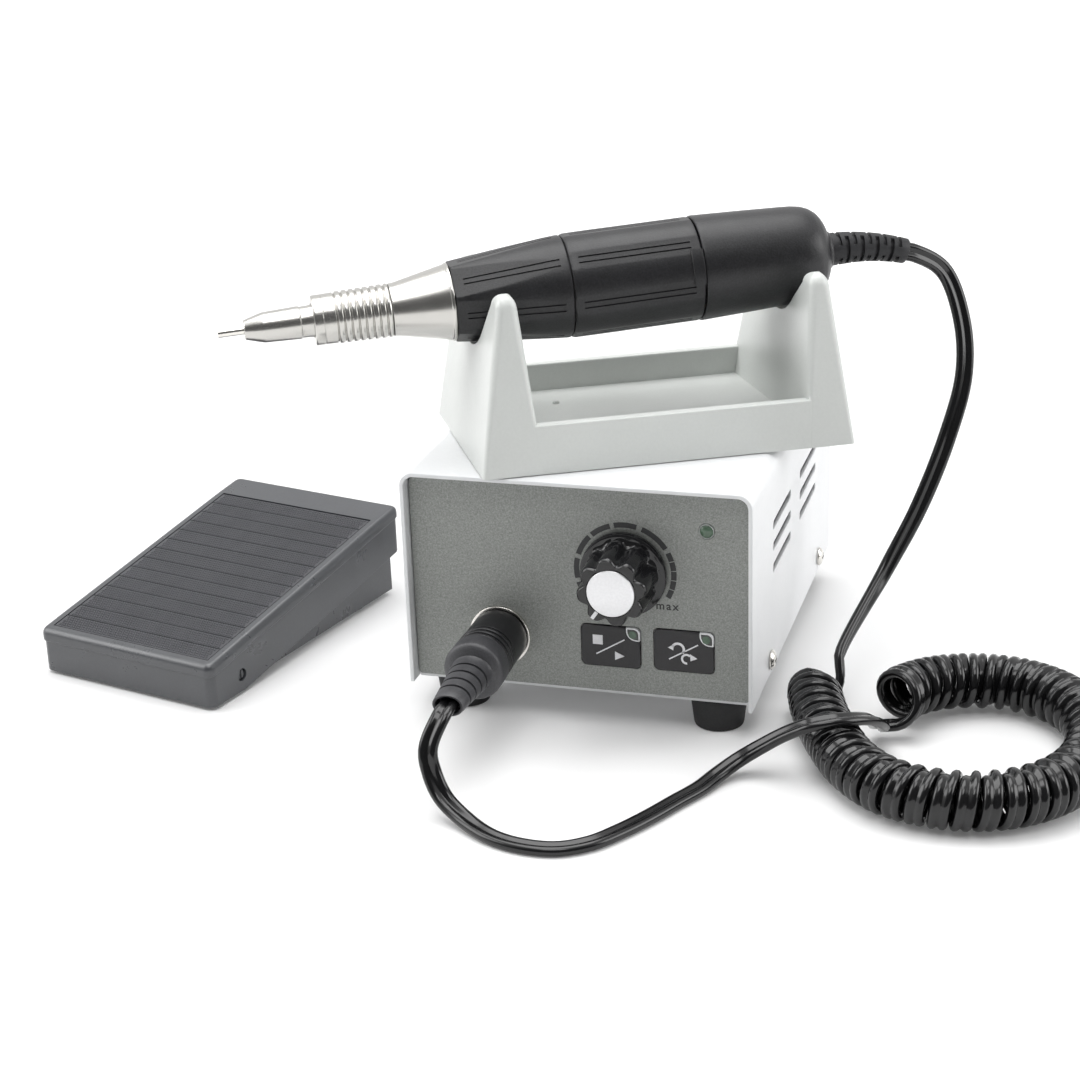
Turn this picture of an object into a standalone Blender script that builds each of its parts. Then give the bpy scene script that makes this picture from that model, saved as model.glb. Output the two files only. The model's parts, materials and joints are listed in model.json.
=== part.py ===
"""Dental laboratory micromotor: control box, handpiece in its cradle, curly cord and foot pedal.

The control box faces -Y and stands on the floor at z = 0. The cradle stands turned on top of it with
the handpiece lying across it, the pedal stands on the floor to the left, and the curly cord lies on
the floor to the right. All lengths are in metres, and every size is named once.
"""

from math import asin, cos, pi, radians, sin, sqrt

import bmesh
import bpy
import numpy as np
from mathutils import Matrix, Vector

mm = 0.001

# Clearances and finish that the whole set shares
fit_gap = 0.3 * mm          # between two pieces that touch
running_gap = 0.12 * mm     # between a shaft and what it turns in
cut_over = 2 * mm           # how far a cutter runs past the wall it cuts
shown_sides = 20            # facets round a turned piece that shows
hidden_sides = 12           # facets round a turned piece inside a housing
small_sides = 10            # facets round a screw, lamp or small hole
corner_steps = 3            # facets in a rounded corner
groove_shares = (0.3, 0.8)  # where a groove's bottom and the next ridge lie in one pitch
slot_shares = ((0.3, 0), (0.5, 1), (0.8, 0))  # the same for a slot in a strain relief, with its depth

# Control box
panel_width = 95 * mm
panel_height = 60 * mm
panel_thickness = 0.8 * mm
panel_corner = 3.2 * mm
box_depth = 121 * mm
sheet = 1.2 * mm
cover_lip = 3.6 * mm
cover_bend = 4.2 * mm
cover_overhang = 1 * mm
flange_height = 9 * mm
flange_margin = 5 * mm
foot_height = 9.6 * mm
foot_top_radius = 8 * mm
foot_bottom_radius = 7 * mm
foot_inset_x = 10.5 * mm
foot_inset_y = 9.5 * mm

# Vent slots in both sides of the cover
vent_length = 27 * mm
vent_height = 2.6 * mm
vent_row_count = 3
vent_pitch = 6.4 * mm
vent_drop = 19.5 * mm
vent_column_y = (39.2 * mm, 80.6 * mm)
vent_round_share = 0.45

# Cover screws
screw_head_radius = 2.8 * mm
screw_head_height = 1.6 * mm
screw_shank_radius = 1.5 * mm
screw_length = 5 * mm
screw_rise = 4.7 * mm
screw_column_y = (22 * mm, 100.5 * mm)

# Speed control
knob_inset = 34.2 * mm
knob_rise = 35.9 * mm
skirt_radius = 11.95 * mm
skirt_height = 2.6 * mm
skirt_start = 0.6 * mm
grip_base_radius = 9.9 * mm
grip_front_radius = 9.2 * mm
grip_height = 15.6 * mm
flute_depth = 1.2 * mm
flute_count = 8
knob_facet_count = 32
pointer_turn = 235                   # where the knob's pointer rests, from the panel's right
cap_radius = 6.55 * mm
cap_thickness = 0.8 * mm
cap_seat = 0.6 * mm
shaft_radius = 3 * mm
shaft_reach = 9 * mm
pot_radius = 8 * mm
pot_depth = 9 * mm
pot_shaft_share = 0.7

# Keys and lamps
key_width = 17 * mm
key_height = 12.4 * mm
key_corner = 1.5 * mm
key_gap = 0.2 * mm
key_proud = 0.35 * mm
key_travel = 0.4 * mm
key_places = {"start_stop": (38.6 * mm, 13.6 * mm), "direction": (18.1 * mm, 13.9 * mm)}
key_lamp_radius = 1.95 * mm
key_lamp_proud = 0.5 * mm
power_lamp_radius = 1.9 * mm
power_lamp_dome = 0.9 * mm
lamp_dome_shares = ((0.6, 0.8), (1, 0.35))
power_lamp_inset = 11.6 * mm
power_lamp_rise = 49.3 * mm

# Motor socket and plug, on one axis that points straight out of the panel
socket_inset = 23.8 * mm
socket_rise = 13.3 * mm
socket_flange_radius = 8.7 * mm
socket_flange = 0.6 * mm
socket_barrel_radius = 7.6 * mm
socket_depth = 15 * mm
socket_bore_radius = 6.9 * mm
socket_bore_depth = 11 * mm
plug_shell_length = 9.5 * mm
plug_radius = 8 * mm
plug_body = 12 * mm
plug_ridge_count = 4
plug_ridge_pitch = 1.6 * mm
plug_ridge_depth = 0.5 * mm
plug_band_radius = 8.3 * mm
plug_band = 6.4 * mm
plug_shoulder = 3 * mm
relief_length = 17.6 * mm
relief_start_half = (5.6 * mm, 4.8 * mm)
relief_end_half = (4.3 * mm, 3.1 * mm)
relief_slot_count = 4
relief_slot_depth = 0.9 * mm

# Inside the control box
board_height = 42 * mm
board_thickness = 1.6 * mm
board_rise = 3 * mm
board_margin = 1.5 * mm
core_width = 57 * mm
core_height = 46 * mm
core_stack = 26 * mm
core_limb = 9 * mm
core_clearance = 6 * mm
coil_wall = 8 * mm
coil_length_share = 0.9

# Rear connectors, side by side in the panel's width, with the jack above the fuse. The shares are of
# the width they leave over: left of the inlet, then on either side of the rocker.
rear_gap_shares = (0.2065, 0.129, 0.2613)
inlet_width = 27 * mm
inlet_height = 20 * mm
inlet_wall = 1.6 * mm
inlet_depth = 17 * mm
inlet_flange = 1.6 * mm
inlet_rise = 16.9 * mm
rocker_width = 13 * mm
rocker_height = 19 * mm
rocker_case = 1.2 * mm
rocker_depth = 14 * mm
rocker_proud = 2.2 * mm
rocker_swing = 14
rocker_clearance = 1.1 * mm
rocker_root_shares = (0.3, 0.8)
rocker_rise = 16.9 * mm
fuse_radius = 6 * mm
fuse_flange_radius = 8 * mm
fuse_flange = 3 * mm
fuse_taper = 1.2 * mm
fuse_depth = 24 * mm
fuse_rise = 14.9 * mm
jack_radius = 5.2 * mm
jack_bore_radius = 3.3 * mm
jack_nut_radius = 7 * mm
jack_nut = 2.4 * mm
jack_depth = 20 * mm
jack_rise = 38.9 * mm

# Cradle
cradle_length = 104.2 * mm
cradle_width = 61.2 * mm
cradle_height = 48.6 * mm
cradle_x = 8.5 * mm
cradle_y = 44.9 * mm
cradle_turn = 27.4
cradle_lean = 4.6 * mm
cradle_end_lean = 6.9 * mm
cradle_end_foot = 18.9 * mm
cradle_tip = 7 * mm
cradle_prong_radius = 3.3 * mm
cradle_wall = 3.1 * mm
cradle_wall_height = 13.4 * mm
cradle_floor_top = 5.4 * mm
cradle_floor = 2.2 * mm
notch_radius = 15.6 * mm
notch_bottom = 31 * mm            # at the rear end, under the fat rear cap
notch_fall = 1.3 * mm             # how much lower the notch is at the front end
notch_open = 50                   # degrees of round each side of its bottom, before it flares
notch_steps = 10

# Handpiece, measured along its own axis from the nose
handpiece_reach = 58.0 * mm          # from the nose to the cradle's left end, along the axis
nose_length = 17.6 * mm
nose_tip_radius = 2.75 * mm
nose_chamfer = 4.3 * mm
nose_chamfer_radius = 4.1 * mm
nose_radius = 4.5 * mm
nose_spigot = 2.4 * mm
chuck_start = 17.9 * mm
chuck_length = 22.5 * mm
chuck_front_radius = 6.85 * mm
chuck_rear_radius = 7.3 * mm
chuck_collar = 3.4 * mm
chuck_rib_count = 8
rib_depth = 0.55 * mm
cone_length = 15.8 * mm
cone_radius = 10.5 * mm
bead_radius = 10.8 * mm
bead_length = 1.2 * mm
sleeve_tube_radius = 5.2 * mm
sleeve_skirt_radius = 9.2 * mm
sleeve_skirt = 9 * mm
grip_length = 32 * mm
grip_radius_front = 10.95 * mm
grip_radius_rear = 14.2 * mm
flat_count = 7
flat_depth = 0.55 * mm
flat_share = 0.72
casing_length = 36.8 * mm
casing_radius = 14.4 * mm
casing_bore_radius = 12.4 * mm
cap_length = 40 * mm
rear_cap_radius = 15 * mm
rear_cap_round = 8.6 * mm
rear_cap_wall = 2 * mm
boot_root_radius = 4.2 * mm
boot_tip_radius = 3.2 * mm
boot_length = 19.53 * mm
boot_flange_radius = 5.8 * mm
boot_flange = 1.6 * mm
boot_droop = 3.2 * mm
boot_rib_count = 4
boot_rib_depth = 0.5 * mm

# Inside the handpiece
pin_radius = 1.175 * mm
pin_showing = 6.7 * mm
pin_held = 20 * mm
collet_radius = 1.95 * mm
collet_start = 1.2 * mm
collet_length = 22.5 * mm
spindle_radius = 3.2 * mm
bearing_length = 4.6 * mm
front_bearing_radius = 4.4 * mm
rear_bearing_radius = 7.9 * mm
coupling_radius = 4.6 * mm
coupling_length = 10 * mm
coupling_grip = 4 * mm
coupling_web = 1.2 * mm
coupling_clearance = 0.7 * mm
rotor_shaft_radius = 2 * mm
rotor_core_radius = 9.1 * mm
rotor_core = 26 * mm
rotor_core_start = 5.5 * mm
winding_radius = 7.6 * mm
winding_overhang = 3.4 * mm
commutator_radius = 4.2 * mm
commutator = 9 * mm
magnet_wall = 2.6 * mm
brush_ring_length = 24 * mm
brush_ring_radius = 12.5 * mm
motor_bearing_radius = 6 * mm

# Foot pedal, measured along its own length from the toe
pedal_x = -166.8 * mm
pedal_y = -0.6 * mm
pedal_turn = -13.9
pedal_width = 64 * mm
pedal_length = 99 * mm
pedal_nose_height = 14.3 * mm
pedal_break = 87.3 * mm
pedal_break_height = 28.3 * mm
pedal_rear_height = 29.9 * mm
pedal_skirt_front = 1 * mm
pedal_skirt_start = 16 * mm
pedal_skirt_rear = 15 * mm
pedal_wall = 2 * mm
pedal_edge = 1.6 * mm
pedal_bottom = 1.8 * mm
pedal_floor = 2 * mm
pedal_base_gap = 0.6 * mm
pedal_base_rear = 20 * mm
pedal_base_front = 7 * mm
pedal_base_start = 6 * mm
toe_bar = 8 * mm
hinge_y = 14.6 * mm
hinge_z = 6 * mm
hinge_radius = 1.75 * mm
press_angle = 4.2
pad_margin_side = 3.4 * mm
pad_margin_toe = 3.4 * mm
pad_pocket = 1 * mm
pad_band_count = 14
pad_groove = 0.35 * mm
pad_groove_share = 0.14
spring_y = 62 * mm
spring_radius = 4.2 * mm
spring_wire = 0.55 * mm
spring_turn_count = 5
spring_point_count = 10
switch_length = 20 * mm
switch_width = 6.4 * mm
switch_height = 10 * mm
switch_plunger = 3 * mm
switch_y = 74 * mm
switch_x_share = 0.72
pedal_foot_radius = 4.5 * mm
pedal_foot_inset = 9 * mm

# Cord: one twin lead, drawn as a round tube of the same bulk
cord_radius = 1.6 * mm
curl_outer_radius = 7.75 * mm
curl_pitch = 5.6 * mm
curl_point_count = 8
coil_start_turn = 165                # clock position of the first curl, from the side nearer the box
coil_end_turn = -90

white_coat = ((0.84, 0.85, 0.85), 0.35, 0.0)
panel_grey = ((0.22, 0.23, 0.22), 0.45, 0.0)
gloss_black = ((0.012, 0.012, 0.013), 0.15, 0.0)
satin_black = ((0.022, 0.022, 0.024), 0.5, 0.0)
pedal_black = ((0.035, 0.036, 0.038), 0.45, 0.0)
rubber_black = ((0.015, 0.015, 0.015), 0.8, 0.0)
cradle_grey = ((0.62, 0.64, 0.62), 0.4, 0.0)
turned_steel = ((0.62, 0.60, 0.57), 0.28, 1.0)
bright_nickel = ((0.75, 0.72, 0.67), 0.2, 1.0)
spun_aluminium = ((0.85, 0.86, 0.87), 0.25, 1.0)
lamp_green = ((0.16, 0.27, 0.18), 0.2, 0.0)
lamp_white = ((0.75, 0.78, 0.76), 0.3, 0.0)
board_green = ((0.02, 0.14, 0.07), 0.5, 0.0)
core_iron = ((0.18, 0.18, 0.19), 0.5, 0.9)
winding_copper = ((0.55, 0.23, 0.09), 0.35, 0.9)
brass = ((0.62, 0.43, 0.17), 0.3, 1.0)
ferrite = ((0.06, 0.06, 0.065), 0.6, 0.2)


# Helpers

def clear_scene():
    for item in list(bpy.data.objects):
        bpy.data.objects.remove(item)


def finish_material(name, finish):
    colour, roughness, metallic = finish
    made = bpy.data.materials.new(name + "_finish")
    made.use_nodes = True
    shader = made.node_tree.nodes["Principled BSDF"]
    shader.inputs["Base Color"].default_value = (*colour, 1.0)
    shader.inputs["Roughness"].default_value = roughness
    shader.inputs["Metallic"].default_value = metallic
    made.diffuse_color = (*colour, 1.0)
    return made


def place(item, finish, parent=None, location=None):
    """Give a finished object its material, its parent and its place."""
    if finish:
        item.data.materials.clear()
        item.data.materials.append(finish_material(item.name, finish))
    item.parent = parent
    if location is not None:
        item.location = location
    return item


def mesh_object(name, points, faces):
    """A closed mesh whose faces are turned outwards."""
    mesh = bpy.data.meshes.new(name)
    mesh.from_pydata([tuple(p) for p in points], [], faces)
    work = bmesh.new()
    work.from_mesh(mesh)
    bmesh.ops.recalc_face_normals(work, faces=work.faces)
    work.to_mesh(mesh)
    work.free()
    mesh.shade_smooth()
    mesh.set_sharp_from_angle(angle=radians(35))
    item = bpy.data.objects.new(name, mesh)
    bpy.context.scene.collection.objects.link(item)
    return item


def loft(name, rings, hollow=False):
    """Skin a list of rings of equally many points; hollow closes the last ring on the first."""
    count = len(rings[0])
    points = [p for ring in rings for p in ring]
    faces = []
    spans = len(rings) if hollow else len(rings) - 1
    for i in range(spans):
        a, b = i * count, ((i + 1) % len(rings)) * count
        for k in range(count):
            j = (k + 1) % count
            faces.append((a + k, a + j, b + j, b + k))
    if not hollow:
        faces.append(tuple(range(count - 1, -1, -1)))
        faces.append(tuple(range((len(rings) - 1) * count, len(rings) * count)))
    return mesh_object(name, points, faces)


def ring(half_x, half_y, z, sides, centre=(0, 0)):
    """An ellipse of points round the Z axis."""
    turns = [2 * pi * k / sides for k in range(sides)]
    return [(centre[0] + half_x * cos(t), centre[1] + half_y * sin(t), z) for t in turns]


def turned(name, profile, sides, bored=False):
    """A solid of revolution round Z from (z, radius) pairs. A bored profile is a closed loop."""
    return loft(name, [ring(r, r, z, sides) for z, r in profile], hollow=bored)


def tube(name, start, end, outer, inner, sides):
    profile = [(start, outer), (end, outer), (end, inner), (start, inner)]
    return turned(name, profile, sides, bored=True)


def rod(name, start, end, radius, sides):
    return turned(name, [(start, radius), (end, radius)], sides)


def block(name, low, high):
    xs, ys, zs = zip(low, high)
    points = [(x, y, z) for z in zs for y in ys for x in xs]
    faces = [(0, 1, 3, 2), (4, 6, 7, 5), (0, 4, 5, 1), (2, 3, 7, 6), (0, 2, 6, 4), (1, 5, 7, 3)]
    return mesh_object(name, points, faces)


def prism(name, outline, start, end, direction):
    """Extrude a flat outline along one axis; its two numbers are the other two axes in order."""
    def point(pair, along):
        values = list(pair)
        values.insert("xyz".index(direction), along)
        return tuple(values)
    return loft(name, [[point(p, start) for p in outline], [point(p, end) for p in outline]])


def rounded_rectangle(low, high, radii, steps=corner_steps):
    """Outline from the lower left corner on, with one radius for each corner in turn."""
    corners = [(low[0], low[1], 180), (high[0], low[1], 270), (high[0], high[1], 0),
               (low[0], high[1], 90)]
    outline = []
    for (x, y, start), radius in zip(corners, radii):
        inward_x = radius if x == low[0] else -radius
        inward_y = radius if y == low[1] else -radius
        for k in range(steps + 1):
            turn = radians(start + 90 * k / steps)
            outline.append((x + inward_x + radius * cos(turn), y + inward_y + radius * sin(turn)))
    return outline


def bake(item):
    """Replace an object's mesh with what its modifiers make of it."""
    bpy.context.view_layer.update()
    evaluated = item.evaluated_get(bpy.context.evaluated_depsgraph_get())
    made = bpy.data.meshes.new_from_object(evaluated)
    made.name = item.name
    item.modifiers.clear()
    item.data = made


def boolean(item, others, operation):
    """Cut the other objects out of the first, or join them to it, and drop them."""
    for other in others:
        step = item.modifiers.new(operation.lower(), "BOOLEAN")
        step.operation = operation
        step.solver = "EXACT"
        step.object = other
    bake(item)
    for other in others:
        bpy.data.objects.remove(other)
    return item


def cut(item, cutters):
    return boolean(item, cutters, "DIFFERENCE")


def join(item, others):
    return boolean(item, others, "UNION")


def bevel_edges(item, width, segments, angle=50):
    step = item.modifiers.new("bevel", "BEVEL")
    step.width = width
    step.segments = segments
    step.limit_method = "ANGLE"
    step.angle_limit = radians(angle)
    bake(item)
    return item


def window(name, centre, size, start, end, grow=0):
    """A block from start to end along Y, round a centre in X and Z, larger all round by grow."""
    half = (size[0] / 2 + grow, size[1] / 2 + grow)
    return block(name, (centre[0] - half[0], start, centre[1] - half[1]),
                 (centre[0] + half[0], end, centre[1] + half[1]))


def axis_cutter(start, end, radius, centre, direction, sides=small_sides):
    """A round cutter along X, Y or Z through the other two coordinates."""
    item = rod("cutter", start, end, radius, sides)
    if direction == "y":
        item.data.transform(Matrix(((1, 0, 0, centre[0]), (0, 0, 1, 0), (0, -1, 0, centre[1]),
                                    (0, 0, 0, 1))))
    elif direction == "x":
        item.data.transform(Matrix(((0, 0, 1, 0), (1, 0, 0, centre[0]), (0, 1, 0, centre[1]),
                                    (0, 0, 0, 1))))
    else:
        item.data.transform(Matrix.Translation((centre[0], centre[1], 0)))
    return item


def empty(name, location, rotation=(0, 0, 0), parent=None):
    item = bpy.data.objects.new(name, None)
    bpy.context.scene.collection.objects.link(item)
    item.location = location
    item.rotation_euler = rotation
    item.parent = parent
    return item


# Places that several pieces share
chassis_low = foot_height + fit_gap
panel_low = chassis_low + sheet
panel_top = panel_low + panel_height
wall_front = panel_thickness + fit_gap
cover_inner_x = panel_width / 2 + fit_gap
cover_outer_x = cover_inner_x + sheet
cover_inner_z = panel_top + fit_gap
box_top = cover_inner_z + sheet
screw_z = chassis_low + screw_rise
knob_x, knob_z = panel_width / 2 - knob_inset, panel_low + knob_rise
key_centres = {name: (panel_width / 2 - inset, panel_low + rise)
               for name, (inset, rise) in key_places.items()}
power_lamp_x, power_lamp_z = panel_width / 2 - power_lamp_inset, panel_low + power_lamp_rise
socket_x, socket_z = socket_inset - panel_width / 2, panel_low + socket_rise
inlet_half = inlet_width / 2 + inlet_flange
rocker_half = rocker_width / 2 + 2 * rocker_case
rear_spare = panel_width - 2 * (inlet_half + rocker_half + fuse_flange_radius)
rear_gaps = [rear_spare * share for share in rear_gap_shares]
inlet_x, inlet_z = rear_gaps[0] + inlet_half - panel_width / 2, panel_low + inlet_rise
rocker_x = inlet_x + inlet_half + rear_gaps[1] + rocker_half
rocker_z = panel_low + rocker_rise
fuse_x, fuse_z = rocker_x + rocker_half + rear_gaps[2] + fuse_flange_radius, panel_low + fuse_rise
jack_x, jack_z = fuse_x, panel_low + jack_rise
vent_top = box_top - vent_drop
core_y = box_depth - max(fuse_depth, jack_depth, inlet_depth, rocker_depth) - core_clearance - core_stack / 2
notch_share = notch_bottom / cradle_height
notch_wall_inside = cradle_end_foot + (cradle_end_lean + cradle_tip - cradle_end_foot) * notch_share
facing_front = (pi / 2, 0, 0)
facing_rear = (-pi / 2, 0, 0)


# Control box shell

def fitting_holes(start, end):
    """Holes for the socket, the control shaft and the power lamp, through the panel or the wall."""
    return [
        axis_cutter(start, end, socket_barrel_radius + fit_gap, (socket_x, socket_z), "y", shown_sides),
        axis_cutter(start, end, shaft_radius + fit_gap, (knob_x, knob_z), "y"),
        axis_cutter(start, end, power_lamp_radius + fit_gap, (power_lamp_x, power_lamp_z), "y"),
    ]


def make_chassis():
    """Folded sheet: bottom, front wall and rear wall, with a flange along each side."""
    half = panel_width / 2
    top = panel_top - fit_gap
    outline = [(wall_front, chassis_low), (box_depth, chassis_low), (box_depth, top),
               (box_depth - sheet, top), (box_depth - sheet, chassis_low + sheet),
               (wall_front + sheet, chassis_low + sheet), (wall_front + sheet, top),
               (wall_front, top)]
    item = prism("base_chassis", outline, -half, half, "x")
    flanges = []
    for side in (-1, 1):
        inner = side * (half - sheet)
        low = (min(inner, side * half), flange_margin, chassis_low + sheet / 2)
        high = (max(inner, side * half), box_depth - flange_margin, chassis_low + flange_height)
        flanges.append(block("flange", low, high))
    join(item, flanges)
    corner = (0, 0, panel_corner, panel_corner)
    limits = rounded_rectangle((-half, -cut_over), (half, top), corner)
    boolean(item, [prism("limits", limits, -cut_over, box_depth + cut_over, "y")], "INTERSECT")
    through = (wall_front - cut_over, wall_front + sheet + cut_over)
    rear = (box_depth - sheet - cut_over, box_depth + cut_over)
    holes = [
        *fitting_holes(*through),
        axis_cutter(*rear, fuse_radius + fit_gap, (fuse_x, fuse_z), "y", hidden_sides),
        axis_cutter(*rear, jack_radius + fit_gap, (jack_x, jack_z), "y", hidden_sides),
        window("cutter", (inlet_x, inlet_z), (inlet_width, inlet_height), *rear, fit_gap),
        window("cutter", (rocker_x, rocker_z), (rocker_width, rocker_height), *rear, rocker_case + fit_gap),
    ]
    for side in (-1, 1):
        ends = sorted((side * (half - sheet - cut_over), side * (half + cut_over)))
        for y in screw_column_y:
            holes.append(axis_cutter(*ends, screw_shank_radius + fit_gap, (y, screw_z), "x"))
    cut(item, holes)
    return place(item, white_coat)


def make_cover():
    """Bent sheet over the top and both sides, with rounded bends and vent slots."""
    low, inner_bend = chassis_low, cover_bend - sheet
    outer_radii, inner_radii = (0, 0, cover_bend, cover_bend), (0, 0, inner_bend, inner_bend)
    outer = rounded_rectangle((-cover_outer_x, low), (cover_outer_x, box_top), outer_radii)
    inner = rounded_rectangle((-cover_inner_x, low), (cover_inner_x, cover_inner_z), inner_radii)
    skip = corner_steps + 1
    outer = [outer[0]] + [outer[skip]] + outer[2 * skip:]
    inner = [inner[0]] + [inner[skip]] + inner[2 * skip:]
    outline = outer[1:] + [outer[0]] + [inner[0]] + inner[:1:-1] + [inner[1]]
    item = prism("top_cover", outline, -cover_lip, box_depth + cover_overhang, "y")
    cutters = []
    for side in (-1, 1):
        ends = sorted((side * (cover_inner_x - cut_over), side * (cover_outer_x + cut_over)))
        for column in vent_column_y:
            for row in range(vent_row_count):
                z = vent_top - row * vent_pitch
                corner_low = (column - vent_length / 2, z - vent_height / 2)
                corner_high = (column + vent_length / 2, z + vent_height / 2)
                radii = [vent_height * vent_round_share] * 4
                slot = rounded_rectangle(corner_low, corner_high, radii, 1)
                cutters.append(prism("cutter", slot, *ends, "x"))
        for y in screw_column_y:
            cutters.append(axis_cutter(*ends, screw_shank_radius + fit_gap, (y, screw_z), "x"))
    cut(item, cutters)
    return place(item, white_coat)


def key_outline(centre, grow=0):
    """A key's rounded rectangle, which is also its window in the panel."""
    half = (key_width / 2 + grow, key_height / 2 + grow)
    low = (centre[0] - half[0], centre[1] - half[1])
    high = (centre[0] + half[0], centre[1] + half[1])
    return rounded_rectangle(low, high, [key_corner + grow] * 4)


def make_front_panel():
    """Flat grey panel in front of the chassis, with its holes and key windows."""
    half = panel_width / 2
    radii = (sheet, sheet, panel_corner, panel_corner)
    outline = rounded_rectangle((-half, panel_low), (half, panel_top), radii)
    item = prism("front_panel", outline, 0, panel_thickness, "y")
    through = (-cut_over, panel_thickness + cut_over)
    cutters = fitting_holes(*through)
    for centre in key_centres.values():
        cutters.append(prism("cutter", key_outline(centre), *through, "y"))
    cut(item, cutters)
    return place(item, panel_grey)


def make_feet():
    """Four rubber feet under the chassis, wider at the top."""
    xs = {"left": -panel_width / 2 + foot_inset_x, "right": panel_width / 2 - foot_inset_x}
    ys = {"front": foot_inset_y, "rear": box_depth - foot_inset_y}
    profile = [(0, foot_bottom_radius - panel_thickness), (panel_thickness, foot_bottom_radius),
               (foot_height, foot_top_radius)]
    for end, y in ys.items():
        for side, x in xs.items():
            item = turned(f"foot_{end}_{side}", profile, shown_sides)
            place(item, rubber_black, location=(x, y, 0))


def make_cover_screws():
    """Four pan-head screws through the cover into the chassis flanges."""
    for side, sign in (("left", -1), ("right", 1)):
        for end, y in zip(("front", "rear"), screw_column_y):
            profile = [(-screw_length, screw_shank_radius), (fit_gap, screw_shank_radius),
                       (fit_gap, screw_head_radius), (screw_head_height / 2, screw_head_radius),
                       (screw_head_height, screw_head_radius / 2)]
            item = turned(f"cover_screw_{end}_{side}", profile, small_sides)
            item.rotation_euler = (0, sign * pi / 2, 0)
            place(item, bright_nickel, location=(sign * cover_outer_x, y, screw_z))


# Front panel fittings

def make_speed_control():
    """Knob with its cap on the shaft of the potentiometer behind the panel."""
    axis = empty("speed_knob_axis", (knob_x, 0, knob_z), facing_front)
    bore = shaft_radius + fit_gap
    skirt_end = skirt_start + skirt_height
    edge = fit_gap
    front = grip_height
    chamfer = flute_depth
    deep = front - cap_seat
    rim = cap_radius + fit_gap
    shapes = [
        (skirt_start, skirt_radius - edge, 0), (skirt_start + edge, skirt_radius, 0),
        (skirt_end - edge, skirt_radius, 0), (skirt_end, skirt_radius - edge, 0),
        (skirt_end + edge, grip_base_radius, 0), (skirt_end + 2 * chamfer, grip_base_radius, 1),
        (front - chamfer, grip_front_radius, 1), (front, grip_front_radius - chamfer, 1),
        (front, rim, 0), (deep, rim, 0), (deep, bore / 2, 0),
        (shaft_reach + fit_gap, bore / 2, 0), (shaft_reach + fit_gap, bore, 0), (skirt_start, bore, 0),
    ]
    rings = []
    for z, radius, fluted_share in shapes:
        loop = []
        for k in range(knob_facet_count):
            facet = 2 * pi * k / knob_facet_count
            turn = facet + radians(pointer_turn)
            dip = flute_depth * fluted_share * ((1 - cos(flute_count * facet)) / 2) ** 2
            loop.append(((radius - dip) * cos(turn), (radius - dip) * sin(turn), z))
        rings.append(loop)
    place(loft("speed_knob", rings, hollow=True), gloss_black, axis)
    seat = deep + fit_gap
    cap = [(seat, cap_radius), (seat + cap_thickness - fit_gap, cap_radius),
           (seat + cap_thickness, cap_radius - fit_gap)]
    place(turned("knob_cap", cap, shown_sides), spun_aluminium, axis)
    back = -(wall_front + sheet + fit_gap)
    reach = back - pot_depth * pot_shaft_share
    shaft = rod("potentiometer_shaft", reach, shaft_reach, shaft_radius, hidden_sides)
    place(shaft, bright_nickel, axis)
    blind = [(back, pot_radius), (back - pot_depth, pot_radius), (back - pot_depth, bore / 2),
             (reach - fit_gap, bore / 2), (reach - fit_gap, bore), (back, bore)]
    place(turned("potentiometer", blind, hidden_sides, bored=True), core_iron, axis)


def make_keys():
    """Two press keys in the panel's windows, each with a lamp in its upper right corner."""
    lamp_room = 2 * key_lamp_radius
    for name, centre in key_centres.items():
        axis = empty(f"{name}_place", (centre[0], 0, centre[1]))
        shifted = [(x - centre[0], z - centre[1]) for x, z in key_outline(centre, -key_gap)]
        back = wall_front - key_travel - running_gap
        key = prism(f"{name}_key", shifted, -key_proud, back, "y")
        corner = (key_width / 2, key_height / 2)
        notch = lamp_room + 2 * key_gap
        notch_low = (corner[0] - notch, -key_proud - cut_over, corner[1] - notch)
        notch_high = (corner[0] + cut_over, back + cut_over, corner[1] + cut_over)
        cut(key, [block("cutter", notch_low, notch_high)])
        place(key, gloss_black, axis)
        lamp_low = (corner[0] - lamp_room - key_gap, corner[1] - lamp_room - key_gap)
        lamp_high = (corner[0] - key_gap, corner[1] - key_gap)
        radii = (key_lamp_radius, key_lamp_radius, key_corner - key_gap, key_lamp_radius)
        drop = rounded_rectangle(lamp_low, lamp_high, radii)
        lamp = prism(f"{name}_lamp", drop, -key_lamp_proud, wall_front - fit_gap, "y")
        place(lamp, lamp_white, axis)


def make_power_lamp():
    """Domed lens of the power lamp in the panel's upper right."""
    axis = empty("power_lamp_place", (power_lamp_x, 0, power_lamp_z), facing_front)
    back = -(wall_front + sheet)
    dome = [(back, power_lamp_radius), (fit_gap, power_lamp_radius),
            *[(power_lamp_dome * z, power_lamp_radius * r) for z, r in lamp_dome_shares]]
    place(turned("power_lamp", dome, small_sides), lamp_green, axis)


def make_motor_socket():
    """Round socket for the handpiece plug: flange in front of the panel, barrel behind it."""
    axis = empty("motor_socket_axis", (socket_x, 0, socket_z), facing_front)
    front = fit_gap + socket_flange
    profile = [(front, socket_flange_radius), (fit_gap, socket_flange_radius),
               (fit_gap, socket_barrel_radius), (front - socket_depth, socket_barrel_radius),
               (front - socket_depth, socket_bore_radius / 3),
               (front - socket_bore_depth, socket_bore_radius / 3),
               (front - socket_bore_depth, socket_bore_radius), (front, socket_bore_radius)]
    place(turned("motor_socket", profile, shown_sides, bored=True), bright_nickel, axis)
    return axis, front


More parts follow.
